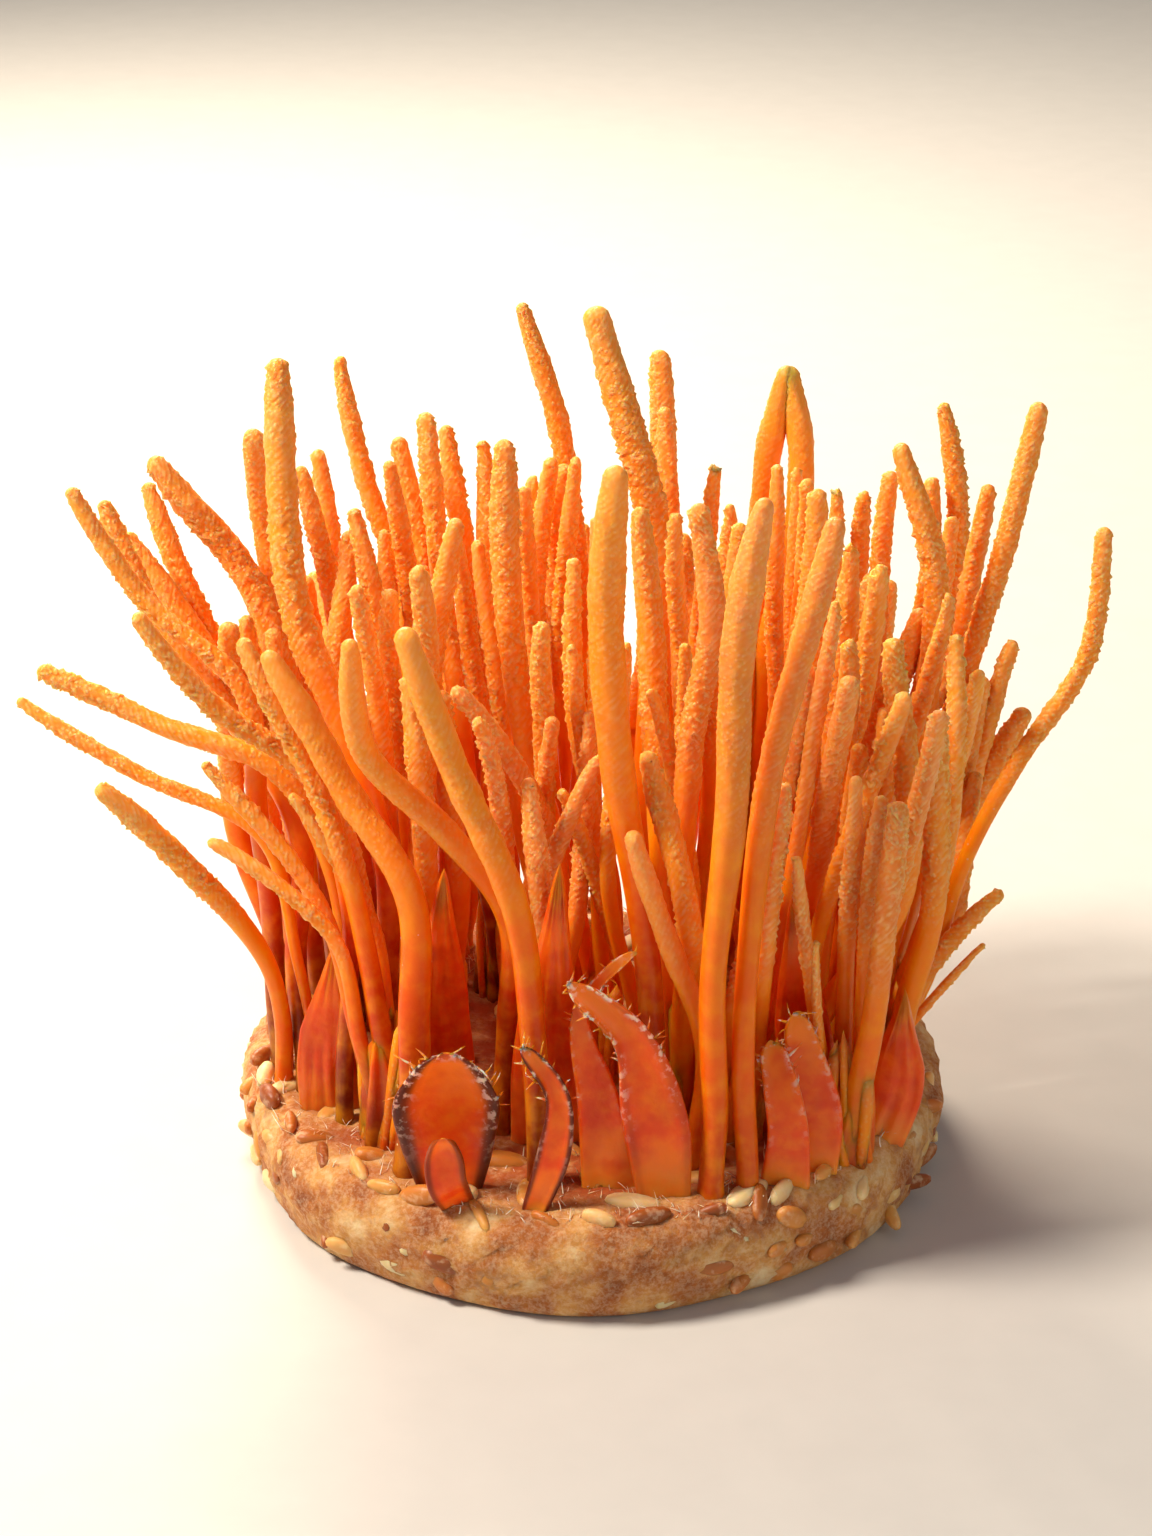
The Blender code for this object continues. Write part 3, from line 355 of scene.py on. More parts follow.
def tint(tree, colour, mask, code, strength=1.0):
    """Lays a hex colour over a colour where the mask is, at a share of its full strength."""
    if strength < 1:
        mask = math_node(tree, "MULTIPLY", mask, strength)
    return blend(tree, mask, colour, linear(code))


def bump(tree, shader, height, strength, depth_mm):
    """Roughens the shader's surface by a height, where 1 stands depth_mm above 0."""
    node = add(tree, "ShaderNodeBump", inputs={
        "Strength": strength, "Distance": depth_mm * MM, "Height": height})
    tree.links.new(node.outputs["Normal"], shader.inputs["Normal"])


def finish_material(tree, shader, colour, constants):
    """Links the colour and sets the constants on the shader's own sockets."""
    tree.links.new(colour, shader.inputs["Base Color"])
    for name, value in constants.items():
        shader.inputs[name].default_value = value


def start_material(name):
    """A new material, with its tree, its shader and the object's own millimetre coordinates."""
    material = bpy.data.materials.new(name)
    material.use_nodes = True
    tree = material.node_tree
    shader = tree.nodes["Principled BSDF"]
    place = add(tree, "ShaderNodeTexCoord").outputs["Object"]
    in_mm = add(tree, "ShaderNodeVectorMath", {"operation": "SCALE"}, {0: place, "Scale": 1 / MM})
    return material, tree, shader, in_mm.outputs["Vector"]


def noise(tree, place, size_mm, detail=3.0, roughness=0.55):
    """Cloudy noise whose blotches are about size_mm across."""
    node = add(tree, "ShaderNodeTexNoise", inputs={
        "Vector": place, "Scale": 1.0 / size_mm, "Detail": detail, "Roughness": roughness})
    return node.outputs["Fac"]


def cells(tree, place, size_mm):
    """Distance to the nearest of scattered points about size_mm apart."""
    node = add(tree, "ShaderNodeTexVoronoi", inputs={"Vector": place, "Scale": 1.0 / size_mm})
    return node.outputs["Distance"]


def attribute(tree, name):
    """A value that the mesh carries at each of its points."""
    return add(tree, "ShaderNodeAttribute", {"attribute_name": name}).outputs["Fac"]


def club_flesh(name, glow_mm, stops):
    """Fresh club: a moist, faintly glowing stalk and a matt head set with granules whose pale tops are
    painted highlight.

    The colour runs along the club from the tip to the foot. The head's granules carry a painted highlight
    on their tops and painted shade, a deeper orange, between them, and the stalk is mottled with faint
    clouds of a yellower orange.
    """
    material, tree, shader, place = start_material(name)
    head = attribute(tree, "head")
    colour = ramp(tree, attribute(tree, "along"), stops)
    mottling = spread(tree, noise(tree, place, size_mm=2.6), low=0.35, high=0.75)
    colour = tint(tree, colour, mottling, "#FFB414", strength=0.4)
    colour = tint(tree, colour, attribute(tree, "tone"), "#F56E04", strength=0.22)
    granule = cells(tree, place, size_mm=0.5)
    # Painted highlight: the granules' tops and the raised crumbs are paler
    on_top = math_node(tree, "MULTIPLY", inverse(tree, spread(tree, granule, low=0.12, high=0.5)), head)
    painted_highlight = math_node(tree, "MAXIMUM", on_top, attribute(tree, "crumb"))
    colour = tint(tree, colour, painted_highlight, "#FFDDA0", strength=0.6)
    # Painted shade: the crevices between the granules are a deeper orange
    painted_crevice_shade = math_node(tree, "MULTIPLY", spread(tree, granule, low=0.42, high=0.75), head)
    colour = tint(tree, colour, painted_crevice_shade, "#F77A02", strength=0.5)
    specks = inverse(tree, spread(tree, cells(tree, place, size_mm=1.5), low=0.05, high=0.1))
    specks = math_node(tree, "MULTIPLY", specks, attribute(tree, "specks"))
    colour = tint(tree, colour, specks, "#FFF4DF")
    stalk_roughness, added_on_head = 0.36, 0.26
    rough = add(tree, "ShaderNodeMath", {"operation": "MULTIPLY_ADD"},
                {0: head, 1: added_on_head, 2: stalk_roughness})
    tree.links.new(rough.outputs[0], shader.inputs["Roughness"])
    grain = math_node(tree, "MULTIPLY", noise(tree, place, size_mm=0.35), 0.4)
    bump(tree, shader, math_node(tree, "ADD", on_top, grain), strength=0.6, depth_mm=0.18)
    finish_material(tree, shader, colour, {
        "Subsurface Weight": 0.7, "Subsurface Scale": glow_mm * MM, "Subsurface Radius": (1.0, 0.42, 0.06),
        "Specular IOR Level": 0.4, "IOR": 1.4})
    return material


def blade_flesh():
    """Flattened club: a thin wet red membrane with a painted glow in its colour, and a thick brown-red rim.
    """
    material, tree, shader, place = start_material("blade_wet_membrane_painted_glow")
    # The body's red-orange is its own colour, pushed brighter and redder as painted glow of light shining
    # through it
    stops = ((0.0, "#F98A18"), (0.35, "#F55F0A"), (0.7, "#EE4E06"), (1.0, "#FFA63C"))
    body = ramp(tree, attribute(tree, "along"), stops)
    veins = spread(tree, noise(tree, place, size_mm=1.8, detail=4.0), low=0.35, high=0.7)
    body = tint(tree, body, veins, "#FF7E10", strength=0.6)
    shade = spread(tree, noise(tree, place, size_mm=4.0, detail=2.0), low=0.45, high=0.7)
    body = tint(tree, body, shade, "#D93E04", strength=0.6)
    edge = blend(tree, noise(tree, place, size_mm=1.2), linear("#3A0D02"), linear("#7C2A06"))
    rim = math_node(tree, "MULTIPLY", attribute(tree, "rim"), attribute(tree, "dark_rim"))
    colour = blend(tree, rim, body, edge)
    frost = spread(tree, noise(tree, place, size_mm=0.8, detail=5.0), low=0.5, high=0.62)
    frost = math_node(tree, "MULTIPLY", frost, attribute(tree, "frost"))
    colour = tint(tree, colour, frost, "#FBDCCB")
    bump(tree, shader, noise(tree, place, size_mm=0.9, detail=5.0), strength=0.5, depth_mm=0.2)
    finish_material(tree, shader, colour, {
        "Roughness": 0.34, "Subsurface Weight": 0.85, "Subsurface Scale": 1.6 * MM,
        "Subsurface Radius": (1.0, 0.35, 0.08), "IOR": 1.4})
    return material


def cake_skin():
    """Mycelium skin of the cake: brown, felted and matt, stained orange-brown between the clubs."""
    material, tree, shader, place = start_material("cake_mycelium_skin")
    stops = ((0.3, "#8E4412"), (0.45, "#B86A28"), (0.58, "#D79A50"), (0.72, "#EFD3A0"))
    colour = ramp(tree, noise(tree, place, size_mm=5.0, detail=5.0), stops)
    felt = spread(tree, noise(tree, place, size_mm=0.5, detail=6.0, roughness=0.7), low=0.4, high=0.65)
    colour = tint(tree, colour, felt, "#F7E2BE", strength=0.3)
    patches = spread(tree, noise(tree, place, size_mm=3.0), low=0.3, high=0.6)
    stain = math_node(tree, "MULTIPLY", attribute(tree, "tone"), patches)
    colour = tint(tree, colour, stain, "#A8480A")
    pits = spread(tree, noise(tree, place, size_mm=2.0), low=0.56, high=0.72)
    colour = tint(tree, colour, pits, "#A65A22", strength=0.6)
    height = math_node(tree, "ADD", noise(tree, place, size_mm=0.45, detail=6.0, roughness=0.7),
                       noise(tree, place, size_mm=1.6))
    bump(tree, shader, height, strength=0.8, depth_mm=0.35)
    finish_material(tree, shader, colour, {
        "Roughness": 0.85, "Subsurface Weight": 0.4, "Subsurface Scale": 1.2 * MM,
        "Subsurface Radius": (1.0, 0.5, 0.25)})
    return material


def mycelium_wool():
    """Mycelium hairs: matt, nearly white, faintly warm."""
    material, tree, shader, _ = start_material("cake_mycelium_wool")
    colour = blend(tree, attribute(tree, "tone"), linear("#FFF6E6"), linear("#F6D3A4"))
    finish_material(tree, shader, colour, {
        "Roughness": 0.8, "Subsurface Weight": 0.3, "Subsurface Scale": 0.3 * MM})
    return material


def kernel_flesh():
    """Boiled grain: swollen, cream to amber, with a moist sheen."""
    material, tree, shader, place = start_material("kernel_boiled_grain")
    stops = ((0.0, "#F2D9A6"), (0.35, "#E0A452"), (0.7, "#C87A2C"), (1.0, "#94480F"))
    colour = ramp(tree, attribute(tree, "tone"), stops)
    spots = spread(tree, noise(tree, place, size_mm=1.1, detail=4.0), low=0.5, high=0.7)
    colour = tint(tree, colour, spots, "#F9E3BC", strength=0.35)
    bump(tree, shader, noise(tree, place, size_mm=0.6, detail=4.0), strength=0.4, depth_mm=0.15)
    finish_material(tree, shader, colour, {
        "Roughness": 0.45, "Subsurface Weight": 0.6, "Subsurface Scale": 1.5 * MM,
        "Subsurface Radius": (1.0, 0.55, 0.25)})
    return material


def floor_paint():
    """Plain pale studio floor, with barely visible grain."""
    material, tree, shader, place = start_material("floor_pale_board")
    colour = blend(tree, noise(tree, place, size_mm=6.0), linear("#CFCECC"), linear("#D6D5D3"))
    finish_material(tree, shader, colour, {"Roughness": 0.7})
    return material


def welded(node):
    """A CAD node's corner points and triangles, with points that share a place joined."""
    mesh = frame["nodes"][node].data
    places = np.empty(len(mesh.vertices) * 3)
    mesh.vertices.foreach_get("co", places)
    places = places.reshape(-1, 3)
    mesh.calc_loop_triangles()
    corners = np.empty(len(mesh.loop_triangles) * 3, int)
    mesh.loop_triangles.foreach_get("vertices", corners)
    _, first, index = np.unique(
        np.round(places / SAME_POINT), axis=0, return_index=True, return_inverse=True)
    triangles = index.reshape(-1)[corners].reshape(-1, 3)
    whole = (triangles[:, 0] != triangles[:, 1]) & (triangles[:, 1] != triangles[:, 2])
    whole &= triangles[:, 0] != triangles[:, 2]
    return places[first], triangles[whole]


def rings_of(node):
    """Each club in a CAD node as its tip, its rings and its heading, and all the node's points.

    A club's rings can be followed down until it meets its neighbours, and from there it has a heading.
    """
    places, triangles = welded(node)
    near = [set() for _ in places]
    for a, b, c in triangles:
        near[a] |= {b, c}
        near[b] |= {a, c}
        near[c] |= {a, b}
    clubs = []
    in_tuft = node.startswith("tuft_")
    lowest = LOWEST_TUFT_TIP if in_tuft else LOWEST_TIP
    for tip in np.nonzero(places[:, 2] > lowest)[0]:
        sides = len(near[tip])
        reach = max(np.linalg.norm(places[v] - places[tip]) for v in near[tip])
        if sides not in CLUB_SIDES or (in_tuft and reach > TIP_REACH):
            continue
        seen = {tip}
        layer = {tip}
        rings = []
        while True:
            layer = set().union(*(near[v] for v in layer)) - seen
            if len(layer) != sides:
                break
            ring = places[sorted(layer)]
            radius = np.linalg.norm(ring - ring.mean(axis=0), axis=1).max()
            if in_tuft and rings and radius > WIDEST_STEP * last_radius:
                break
            seen |= layer
            last, last_radius = layer, radius
            rings.append(ring)
        if not rings:
            continue
        onward = [places[w] - places[v] for v in last for w in near[v] - seen]
        heading = np.sum(onward, axis=0) if onward else np.array([0.0, 0.0, -1.0])
        clubs.append((places[tip], rings, heading))
    if not in_tuft:
        clubs = [max(clubs, key=lambda club: len(club[1]))]
    return clubs, places


def level_loops(places, triangles, level):
    """Where a level plane cuts a node: the points of each closed outline, from left to right."""
    cuts = []
    for triangle in triangles:
        points = places[triangle]
        above = points[:, 2] > level
        if above.all() or not above.any():
            continue
        ends = []
        for k in range(3):
            one, two = points[k], points[(k + 1) % 3]
            if above[k] != above[(k + 1) % 3]:
                ends.append(one + (two - one) * (level - one[2]) / (two[2] - one[2]))
        cuts.append(ends)
    loops = []
    for ends in cuts:
        touching = [loop for loop in loops if any(
            np.linalg.norm(end - point) < SAME_END for end in ends for point in loop)]
        merged = ends + [point for loop in touching for point in loop]
        loops = [loop for loop in loops if not any(loop is other for other in touching)] + [merged]
    return sorted((np.array(loop) for loop in loops), key=lambda loop: loop[:, 0].mean())


def box_of(points):
    """The middle of the box round some points, and half its size."""
    low, high = points.min(axis=0), points.max(axis=0)
    return (low + high) / 2, (high - low) / 2


def twin_lines(node):
    """The middle lines of two stalks that a node holds grown together, read from level cuts."""
    places, triangles = welded(node)
    top = places[:, 2].max()
    pair = ([], [])
    for level in np.linspace(top - TWIN_TOP_GAP, FOOT_LEVEL + FOOT_MARGIN, TWIN_CUTS):
        loops = level_loops(places, triangles, level)
        if len(loops) == 1:
            centre, (wide, deep, _) = box_of(loops[0])
            for line, hand in zip(pair, (-1, 1)):
                aside = np.array([hand * wide * TWIN_ASIDE, 0, 0])
                line.append((*(centre + aside), wide * TWIN_WIDTH, deep))
        else:
            for line, loop in zip(pair, (loops[0], loops[-1])):
                centre, (wide, deep, _) = box_of(loop)
                line.append((*centre, wide, deep))
    return [(line[:, :3], line[:, 3], line[:, 4]) for line in map(np.array, pair)]


def middle_line(node):
    """For each club of a node: points down its middle, its half width and its half thickness."""
    if node in TWIN_NODES:
        return twin_lines(node)
    clubs, places = rings_of(node)
    foot_middle = places[places[:, 2] < FOOT_LEVEL + FOOT_BAND].mean(axis=0)
    lines = []
    for tip, rings, heading in clubs:
        middle = [tip] + [ring.mean(axis=0) for ring in rings]
        wide, thin = [0.0], [0.0]
        for ring in rings:
            offset = ring - ring.mean(axis=0)
            spreads = np.sqrt(np.linalg.eigvalsh(offset.T @ offset / len(ring))[::-1] * 2)
            wide.append(spreads[0])
            thin.append(spreads[1])
        if middle[-1][2] > FOOT_LEVEL + ABOVE_FOOT:
            heading /= max(-heading[2], TINY)
            if middle[-1][2] > JOINING_LEVEL + ABOVE_JOINING:
                middle.append(middle[-1] + heading * (middle[-1][2] - JOINING_LEVEL))
                wide.append(wide[-1])
                thin.append(thin[-1])
            foot = middle[-1] + heading * (middle[-1][2] - FOOT_LEVEL)
            aside = foot - foot_middle
            aside[2] = 0
            foot = foot_middle + aside * min(1.0, CLUMP_REACH / max(np.linalg.norm(aside), TINY))
            foot[2] = FOOT_LEVEL
            middle.append(foot)
            wide.append(wide[-1] * FOOT_WIDENING)
            thin.append(thin[-1] * FOOT_WIDENING)
        lines.append((np.array(middle), np.array(wide), np.array(thin)))
    return lines


def curve_through(points, values, steps):
    """A smooth curve through points, with values carried along it and the way to each place on it."""
    every = np.column_stack([points, values])
    padded = np.vstack([2 * every[0] - every[1], every, 2 * every[-1] - every[-2]])
    gaps = np.maximum(np.linalg.norm(np.diff(padded[:, :3], axis=0), axis=1), TINY) ** 0.5
    knots = np.concatenate([[0], np.cumsum(gaps)])
    pieces = []
    for i in range(len(every) - 1):
        t0, t1, t2, t3 = knots[i:i + 4]
        p0, p1, p2, p3 = padded[i:i + 4]
        t = (t1 + (t2 - t1) * np.arange(steps) / steps)[:, None]
        a1 = (t1 - t) / (t1 - t0) * p0 + (t - t0) / (t1 - t0) * p1
        a2 = (t2 - t) / (t2 - t1) * p1 + (t - t1) / (t2 - t1) * p2
        a3 = (t3 - t) / (t3 - t2) * p2 + (t - t2) / (t3 - t2) * p3
        b1 = (t2 - t) / (t2 - t0) * a1 + (t - t0) / (t2 - t0) * a2
        b2 = (t3 - t) / (t3 - t1) * a2 + (t - t1) / (t3 - t1) * a3
        pieces.append((t2 - t) / (t2 - t1) * b1 + (t - t1) / (t2 - t1) * b2)
    pieces.append(every[-1:])
    curve = np.vstack(pieces)
    way = np.concatenate([[0], np.cumsum(np.linalg.norm(np.diff(curve[:, :3], axis=0), axis=1))])
    return curve[:, :3], curve[:, 3:], way


def carried_frame(middle):
    """Directions along and across a curve that never twist."""
    along = np.gradient(middle, axis=0)
    along /= np.maximum(np.linalg.norm(along, axis=1), VANISHING)[:, None]
    side = np.cross(along[0], (0.0, 1.0, 0.0))
    side /= np.linalg.norm(side)
    sides = [side]
    for direction in along[1:]:
        side = side - direction * (side @ direction)
        side /= np.linalg.norm(side)
        sides.append(side)
    sides = np.array(sides)
    return along, sides, np.cross(along, sides)


def turns_of(sides):
    """Equal angles once round."""
    return FULL_TURN * np.arange(sides) / sides


def waves(share_a, share_b, count, reach):
    """Smooth seeded undulation over two directions, the second of which closes on itself."""
    total = np.zeros(np.broadcast(share_a, share_b).shape)
    for _ in range(count):
        turns = rng.integers(*WAVE_TURNS)
        rate = rng.uniform(*WAVE_RATES)
        total += np.sin(share_a * rate * reach + turns * share_b + rng.uniform(*WAVE_PHASES))
    return total / count


def lowered(points):
    """A middle line whose foot reaches down into the cake."""
    points = points.copy()
    points[-1, 2] -= FOOT_DEPTH
    return points


def foot_circle(places):
    """The middle and the radius of a tuft's foot."""
    low = places[places[:, 2] < FOOT_LEVEL + FOOT_MARGIN]
    centre = low.mean(axis=0)
    return centre, np.linalg.norm((low - centre)[:, :2], axis=1).max()


def plain_values(shape, along, head=0.0):
    """What a club's mesh carries where it has no granules and no specks."""
    flat = np.zeros(shape)
    return {"along": flat + along, "tone": flat + rng.random(), "head": flat + head, "crumb": flat,
            "specks": flat}


def club_surface(line, granules, specks):
    """One club as a grid of points: a tapered round tip, a granular head and a ribbed stalk."""
    points, wide, thin = line
    radius = (wide + thin) / 2
    full = radius[1] / FIRST_RING_SHARE
    radius[:2] = full
    sides = BROAD_SIDES if full > BROAD_RADIUS else SLIM_SIDES
    curve, carried, way = curve_through(lowered(points), radius[:, None], CURVE_STEPS)
    length = way[-1]

    # Stations along the club, and how far it reaches at each
    tip_radius = full * rng.uniform(*TIP_SHARES)
    round_part = tip_radius * (1 - np.cos(np.linspace(0, math.pi / 2, TIP_STEPS + 1)))
    head_start = round_part[-1] + HEAD_STEP
    head_end = length * HEAD_SHARE
    stations = np.concatenate([round_part, np.arange(head_start, head_end, HEAD_STEP),
                               np.arange(max(head_end, head_start), length, STALK_STEP), [length]])
    middle = np.column_stack([np.interp(stations, way, curve[:, k]) for k in range(3)])
    reach = np.interp(stations, way, carried[:, 0])
    taper = np.sin(np.clip(stations / TAPER_LENGTH, 0, 1) * math.pi / 2)
    reach *= tip_radius / full + (1 - tip_radius / full) * taper
    dome = np.sqrt(np.clip(1 - (1 - stations / tip_radius) ** 2, 0, 1))
    reach *= np.where(stations < tip_radius, dome, 1.0)
    reach *= 1 + FOOT_FLARE * np.clip(1 - (length - stations) / FLARE_LENGTH, 0, 1) ** 2

    # Slight bends of the middle line
    bend = [waves(stations / BEND_LENGTH, 0, count=3, reach=2.0) for _ in range(2)]
    bend = BEND_SHARE * full * np.stack(bend, axis=1)
    bend *= np.clip((length - stations) / BEND_FADE, 0, 1)[:, None]
    directions = carried_frame(middle)
    middle = middle + bend[:, :1] * directions[1] + bend[:, 1:] * directions[2]

    # Swellings, knobs on the head, ribs on the stalk, and granules
    share = stations / length
    fades = [0, HEAD_SHARE - HEAD_FADE[0], HEAD_SHARE + HEAD_FADE[1]]
    head = np.interp(share, fades, [1, 1, 0])[:, None]
    turn = turns_of(sides)[None]
    grid_share = (stations / WAVE_LENGTH)[:, None]
    shape = 1 + SWELLING * waves(grid_share, turn, count=5, reach=2.0)
    knobs = KNOBS * waves(grid_share * KNOBS_ALONG, turn * KNOBS_ROUND, count=6, reach=2.6) * head
    twist = grid_share * RIB_TWIST + rng.uniform(*RIB_PHASES)
    ribs = RIB_HEIGHT * np.cos(RIB_COUNT * turn + twist) * (1 - head)
    parity = (np.arange(len(stations))[:, None] + np.arange(sides)[None]) % 2
    crumbs = GRANULE_STAND * parity + rng.random(parity.shape) ** 2 - GRANULE_SINK
    grown = np.clip((stations / tip_radius)[:, None] * GRANULE_GROWTH, LEAST_GROWN, 1)
    patchy = PATCH_MEAN + PATCH_SWING * waves(grid_share * PATCH_RATE, turn, count=4, reach=2.0)
    patchy = np.clip(patchy, *PATCH_RANGE)
    height = GRANULE_HEIGHT * granules * min(1.0, full / BROAD_RADIUS)
    out = reach[:, None] * (shape + knobs + ribs) + crumbs * height * head * grown * patchy
    angle = turn + rng.normal(0, GRANULE_TURN / sides, parity.shape) * head * granules
    surface = middle[:, None] + out[..., None] * (
        np.cos(angle)[..., None] * directions[1][:, None]
        + np.sin(angle)[..., None] * directions[2][:, None])
    jitter = rng.normal(0, GRANULE_SLIP, parity.shape) * head * granules
    jitter[:TIP_STEPS] = 0
    surface = surface + jitter[..., None] * directions[0][:, None]
    surface[0] = middle[0]
    flat = np.zeros(parity.shape)
    return surface, {
        "along": flat + share[:, None],
        "tone": flat + rng.random(),
        "head": flat + head * granules * np.clip(patchy, 0, 1),
        "crumb": np.clip(crumbs, 0, 1) * head * granules,
        "specks": flat + specks * (1 - head)}


def trunk_surface(places):
    """The stout trunk of a tuft, ribbed by the stalks that have grown together in it."""
    centre, radius = foot_circle(places)
    rise = np.linspace(0, 1, TRUNK_ROWS)
    reach = radius * np.interp(rise, *TRUNK_OUTLINE)
    top = [TRUNK_LEAN * centre[0], TRUNK_LEAN * centre[1], TRUNK_HEIGHT]
    middle = centre + np.outer(1 - rise, top)
    middle[:, 2] -= FOOT_DEPTH * rise
    turn = turns_of(TRUNK_SIDES)
    folds = np.cos(TRUNK_FOLDS * turn[None] + TRUNK_TWIST * rise[:, None] + rng.uniform(*RIB_PHASES))
    swelling = waves(rise[:, None] * 2, turn[None], count=6, reach=2.5)
    out = reach[:, None] * (1 + TRUNK_FOLD_HEIGHT * folds + SWELLING * swelling)
    surface = np.stack([middle[:, :1] + out * np.cos(turn), middle[:, 1:2] + out * np.sin(turn),
                        middle[:, 2:] * np.ones(TRUNK_SIDES)], axis=2)
    surface = surface[:, ::-1]
    surface[0] = middle[0]
    along = TRUNK_TOP_TONE + (1 - TRUNK_TOP_TONE) * rise
    return surface, plain_values(surface.shape[:2], along[:, None])


def sliver(base, direction, length, radius, bend, rows=5, sides=5, outline=POINTED):
    """A small pointed hair or frill that curves away from its base, as a grid from its tip."""
    direction = direction / np.linalg.norm(direction)
    side = np.cross(direction, ASKEW)
    side /= np.linalg.norm(side)
    other = np.cross(direction, side)
    rise = np.linspace(1, 0, rows)
    middle = base + np.outer(rise * length, direction) + np.outer(rise ** 2 * length, bend)
    reach = radius * np.interp(1 - rise, *outline)
    turn = turns_of(sides)
    around = np.cos(turn)[:, None] * side + np.sin(turn)[:, None] * other
    return middle[:, None] + reach[:, None, None] * around[None]


def buds(places, count):
    """Small young clubs that crowd the sides of a tuft's trunk and end below its top."""
    centre, radius = foot_circle(places)
    made = []
    for _ in range(count):
        angle = rng.uniform(0, FULL_TURN)
        out = np.array([math.cos(angle), math.sin(angle), 0.0])
        base = centre + out * radius * rng.uniform(*BUD_PLACES) - np.array([0, 0, FOOT_DEPTH])
        length = rng.uniform(*BUD_LENGTHS) + FOOT_DEPTH
        heading = np.array([*rng.normal(0, BUD_SCATTER, 2), 1.0]) + BUD_LEAN * out
        grid = sliver(base, heading, length, rng.uniform(*BUD_RADII), BUD_CURL * out,
                      BUD_ROWS, BUD_SIDES, BUD_OUTLINE)
        along = np.linspace(*BUD_TONES, BUD_ROWS)[:, None]
        made.append((grid, plain_values(grid.shape[:2], along, BUD_GRANULES)))
    return made


def frills(surface, values, count):
    """Ragged slivers that stand out from the upper rim of a flattened club."""
    made = []
    for _ in range(count):
        row = int(rng.uniform(*FRILL_PLACES) * len(surface))
        base = surface[row, rng.choice((0, BLADE_SIDES // 2))]
        centre = surface[row].mean(axis=0)
        out = (base - centre) / np.linalg.norm(base - centre)
        out = out + np.array([0, 0, FRILL_RISE]) + rng.normal(0, FRILL_SCATTER, 3)
        grid = sliver(base - out * FRILL_DEPTH, out, rng.uniform(*FRILL_LENGTHS),
                      rng.uniform(*FRILL_RADII), rng.normal(0, FRILL_SCATTER, 3))
        flat = np.zeros(grid.shape[:2])
        along = values["along"][row, 0]
        made.append((grid, {"along": flat + along, "rim": flat + 1, "dark_rim": flat, "frost": flat + 1}))
    return made


def blade_surface(line, dark_rim, frost, cup_depth, ribs):
    """A flattened club: thin in its middle, with a rounded thicker rim that frays on top.

    With ribs, it is a spear-shaped web of stalks grown together side by side.
    """
    points, wide, thin = line
    wide[0] = wide[1] * BLADE_TOP_WIDTH
    curve, carried, way = curve_through(lowered(points), np.column_stack([wide, thin]), BLADE_CURVE_STEPS)
    length = way[-1]
    tip_end = length * BLADE_TIP_SHARE
    stations = np.concatenate([tip_end * np.linspace(0, 1, BLADE_TIP_STEPS) ** 1.6,
                               np.arange(tip_end, length, BLADE_STEP)[1:], [length]])
    share = (stations / length)[:, None]
    middle = np.column_stack([np.interp(stations, way, curve[:, k]) for k in range(3)])
    half, thick = [np.interp(stations, way, carried[:, k]) for k in range(2)]
    cap = np.clip(stations / (BLADE_CAP_SHARE * length), 0, 1)
    dome = np.sqrt(1 - (1 - cap) ** 2)
    half = half * dome
    if ribs:
        half = half * np.interp(share[:, 0], *SPEAR_OUTLINE)
    thick = thick * np.clip(dome, THINNEST_TOP, 1)

    # The blade lies across the camera's line of sight
    tangent, _, _ = carried_frame(middle)
    forward = np.array([0.0, math.cos(CAMERA_TILT), -math.sin(CAMERA_TILT)])
    side = np.cross(tangent, forward)
    side /= np.linalg.norm(side, axis=1)[:, None]
    through = np.cross(side, tangent)

    # Its thickness, folds, ripples and hollow
    turn = turns_of(BLADE_SIDES)
    across = np.cos(turn)
    grid_share = (stations / WAVE_LENGTH)[:, None]
    web = MIDDLE_THICKNESS + (1 - MIDDLE_THICKNESS) * np.clip(np.abs(across) * WEB_BREADTH, 0, 1) ** 4
    if ribs:
        wander = STALK_WANDER * np.sin(grid_share + 3 * across)
        stalks = np.abs(np.cos(0.5 * math.pi * ribs * (across + wander)))
        web = GROOVE_THICKNESS + STALK_THICKNESS * stalks ** 0.7
    folds = 1 + BLADE_FOLDS * waves(grid_share, turn[None], count=5, reach=3.0)
    ripple = BLADE_RIPPLE * waves(grid_share, turn[None], count=6, reach=5.0) * (half / half.max())[:, None]
    cup = cup_depth * (1 - across ** 2)[None] * np.sin(np.clip(share * CUP_END, 0, 1) * math.pi)
    hollow = cup * np.sign(through[len(through) // 2] @ forward)
    surface = (middle[:, None] + (half[:, None] * folds * across)[..., None] * side[:, None]
               + (thick[:, None] * web * np.sin(turn) + ripple + hollow)[..., None] * through[:, None])
    surface[0] = middle[0]
    rim = np.clip((np.abs(across) - RIM_START) / RIM_BREADTH, 0, 1)[None]
    rim = np.maximum(rim, np.clip(1 - share / RIM_TOP_SHARE, 0, 1))
    flat = np.zeros(rim.shape)
    return surface, {"along": flat + share, "rim": rim, "dark_rim": flat + dark_rim,
                     "frost": frost * rim * np.clip(FROST_FADE[0] - share * FROST_FADE[1], 0, 1)}


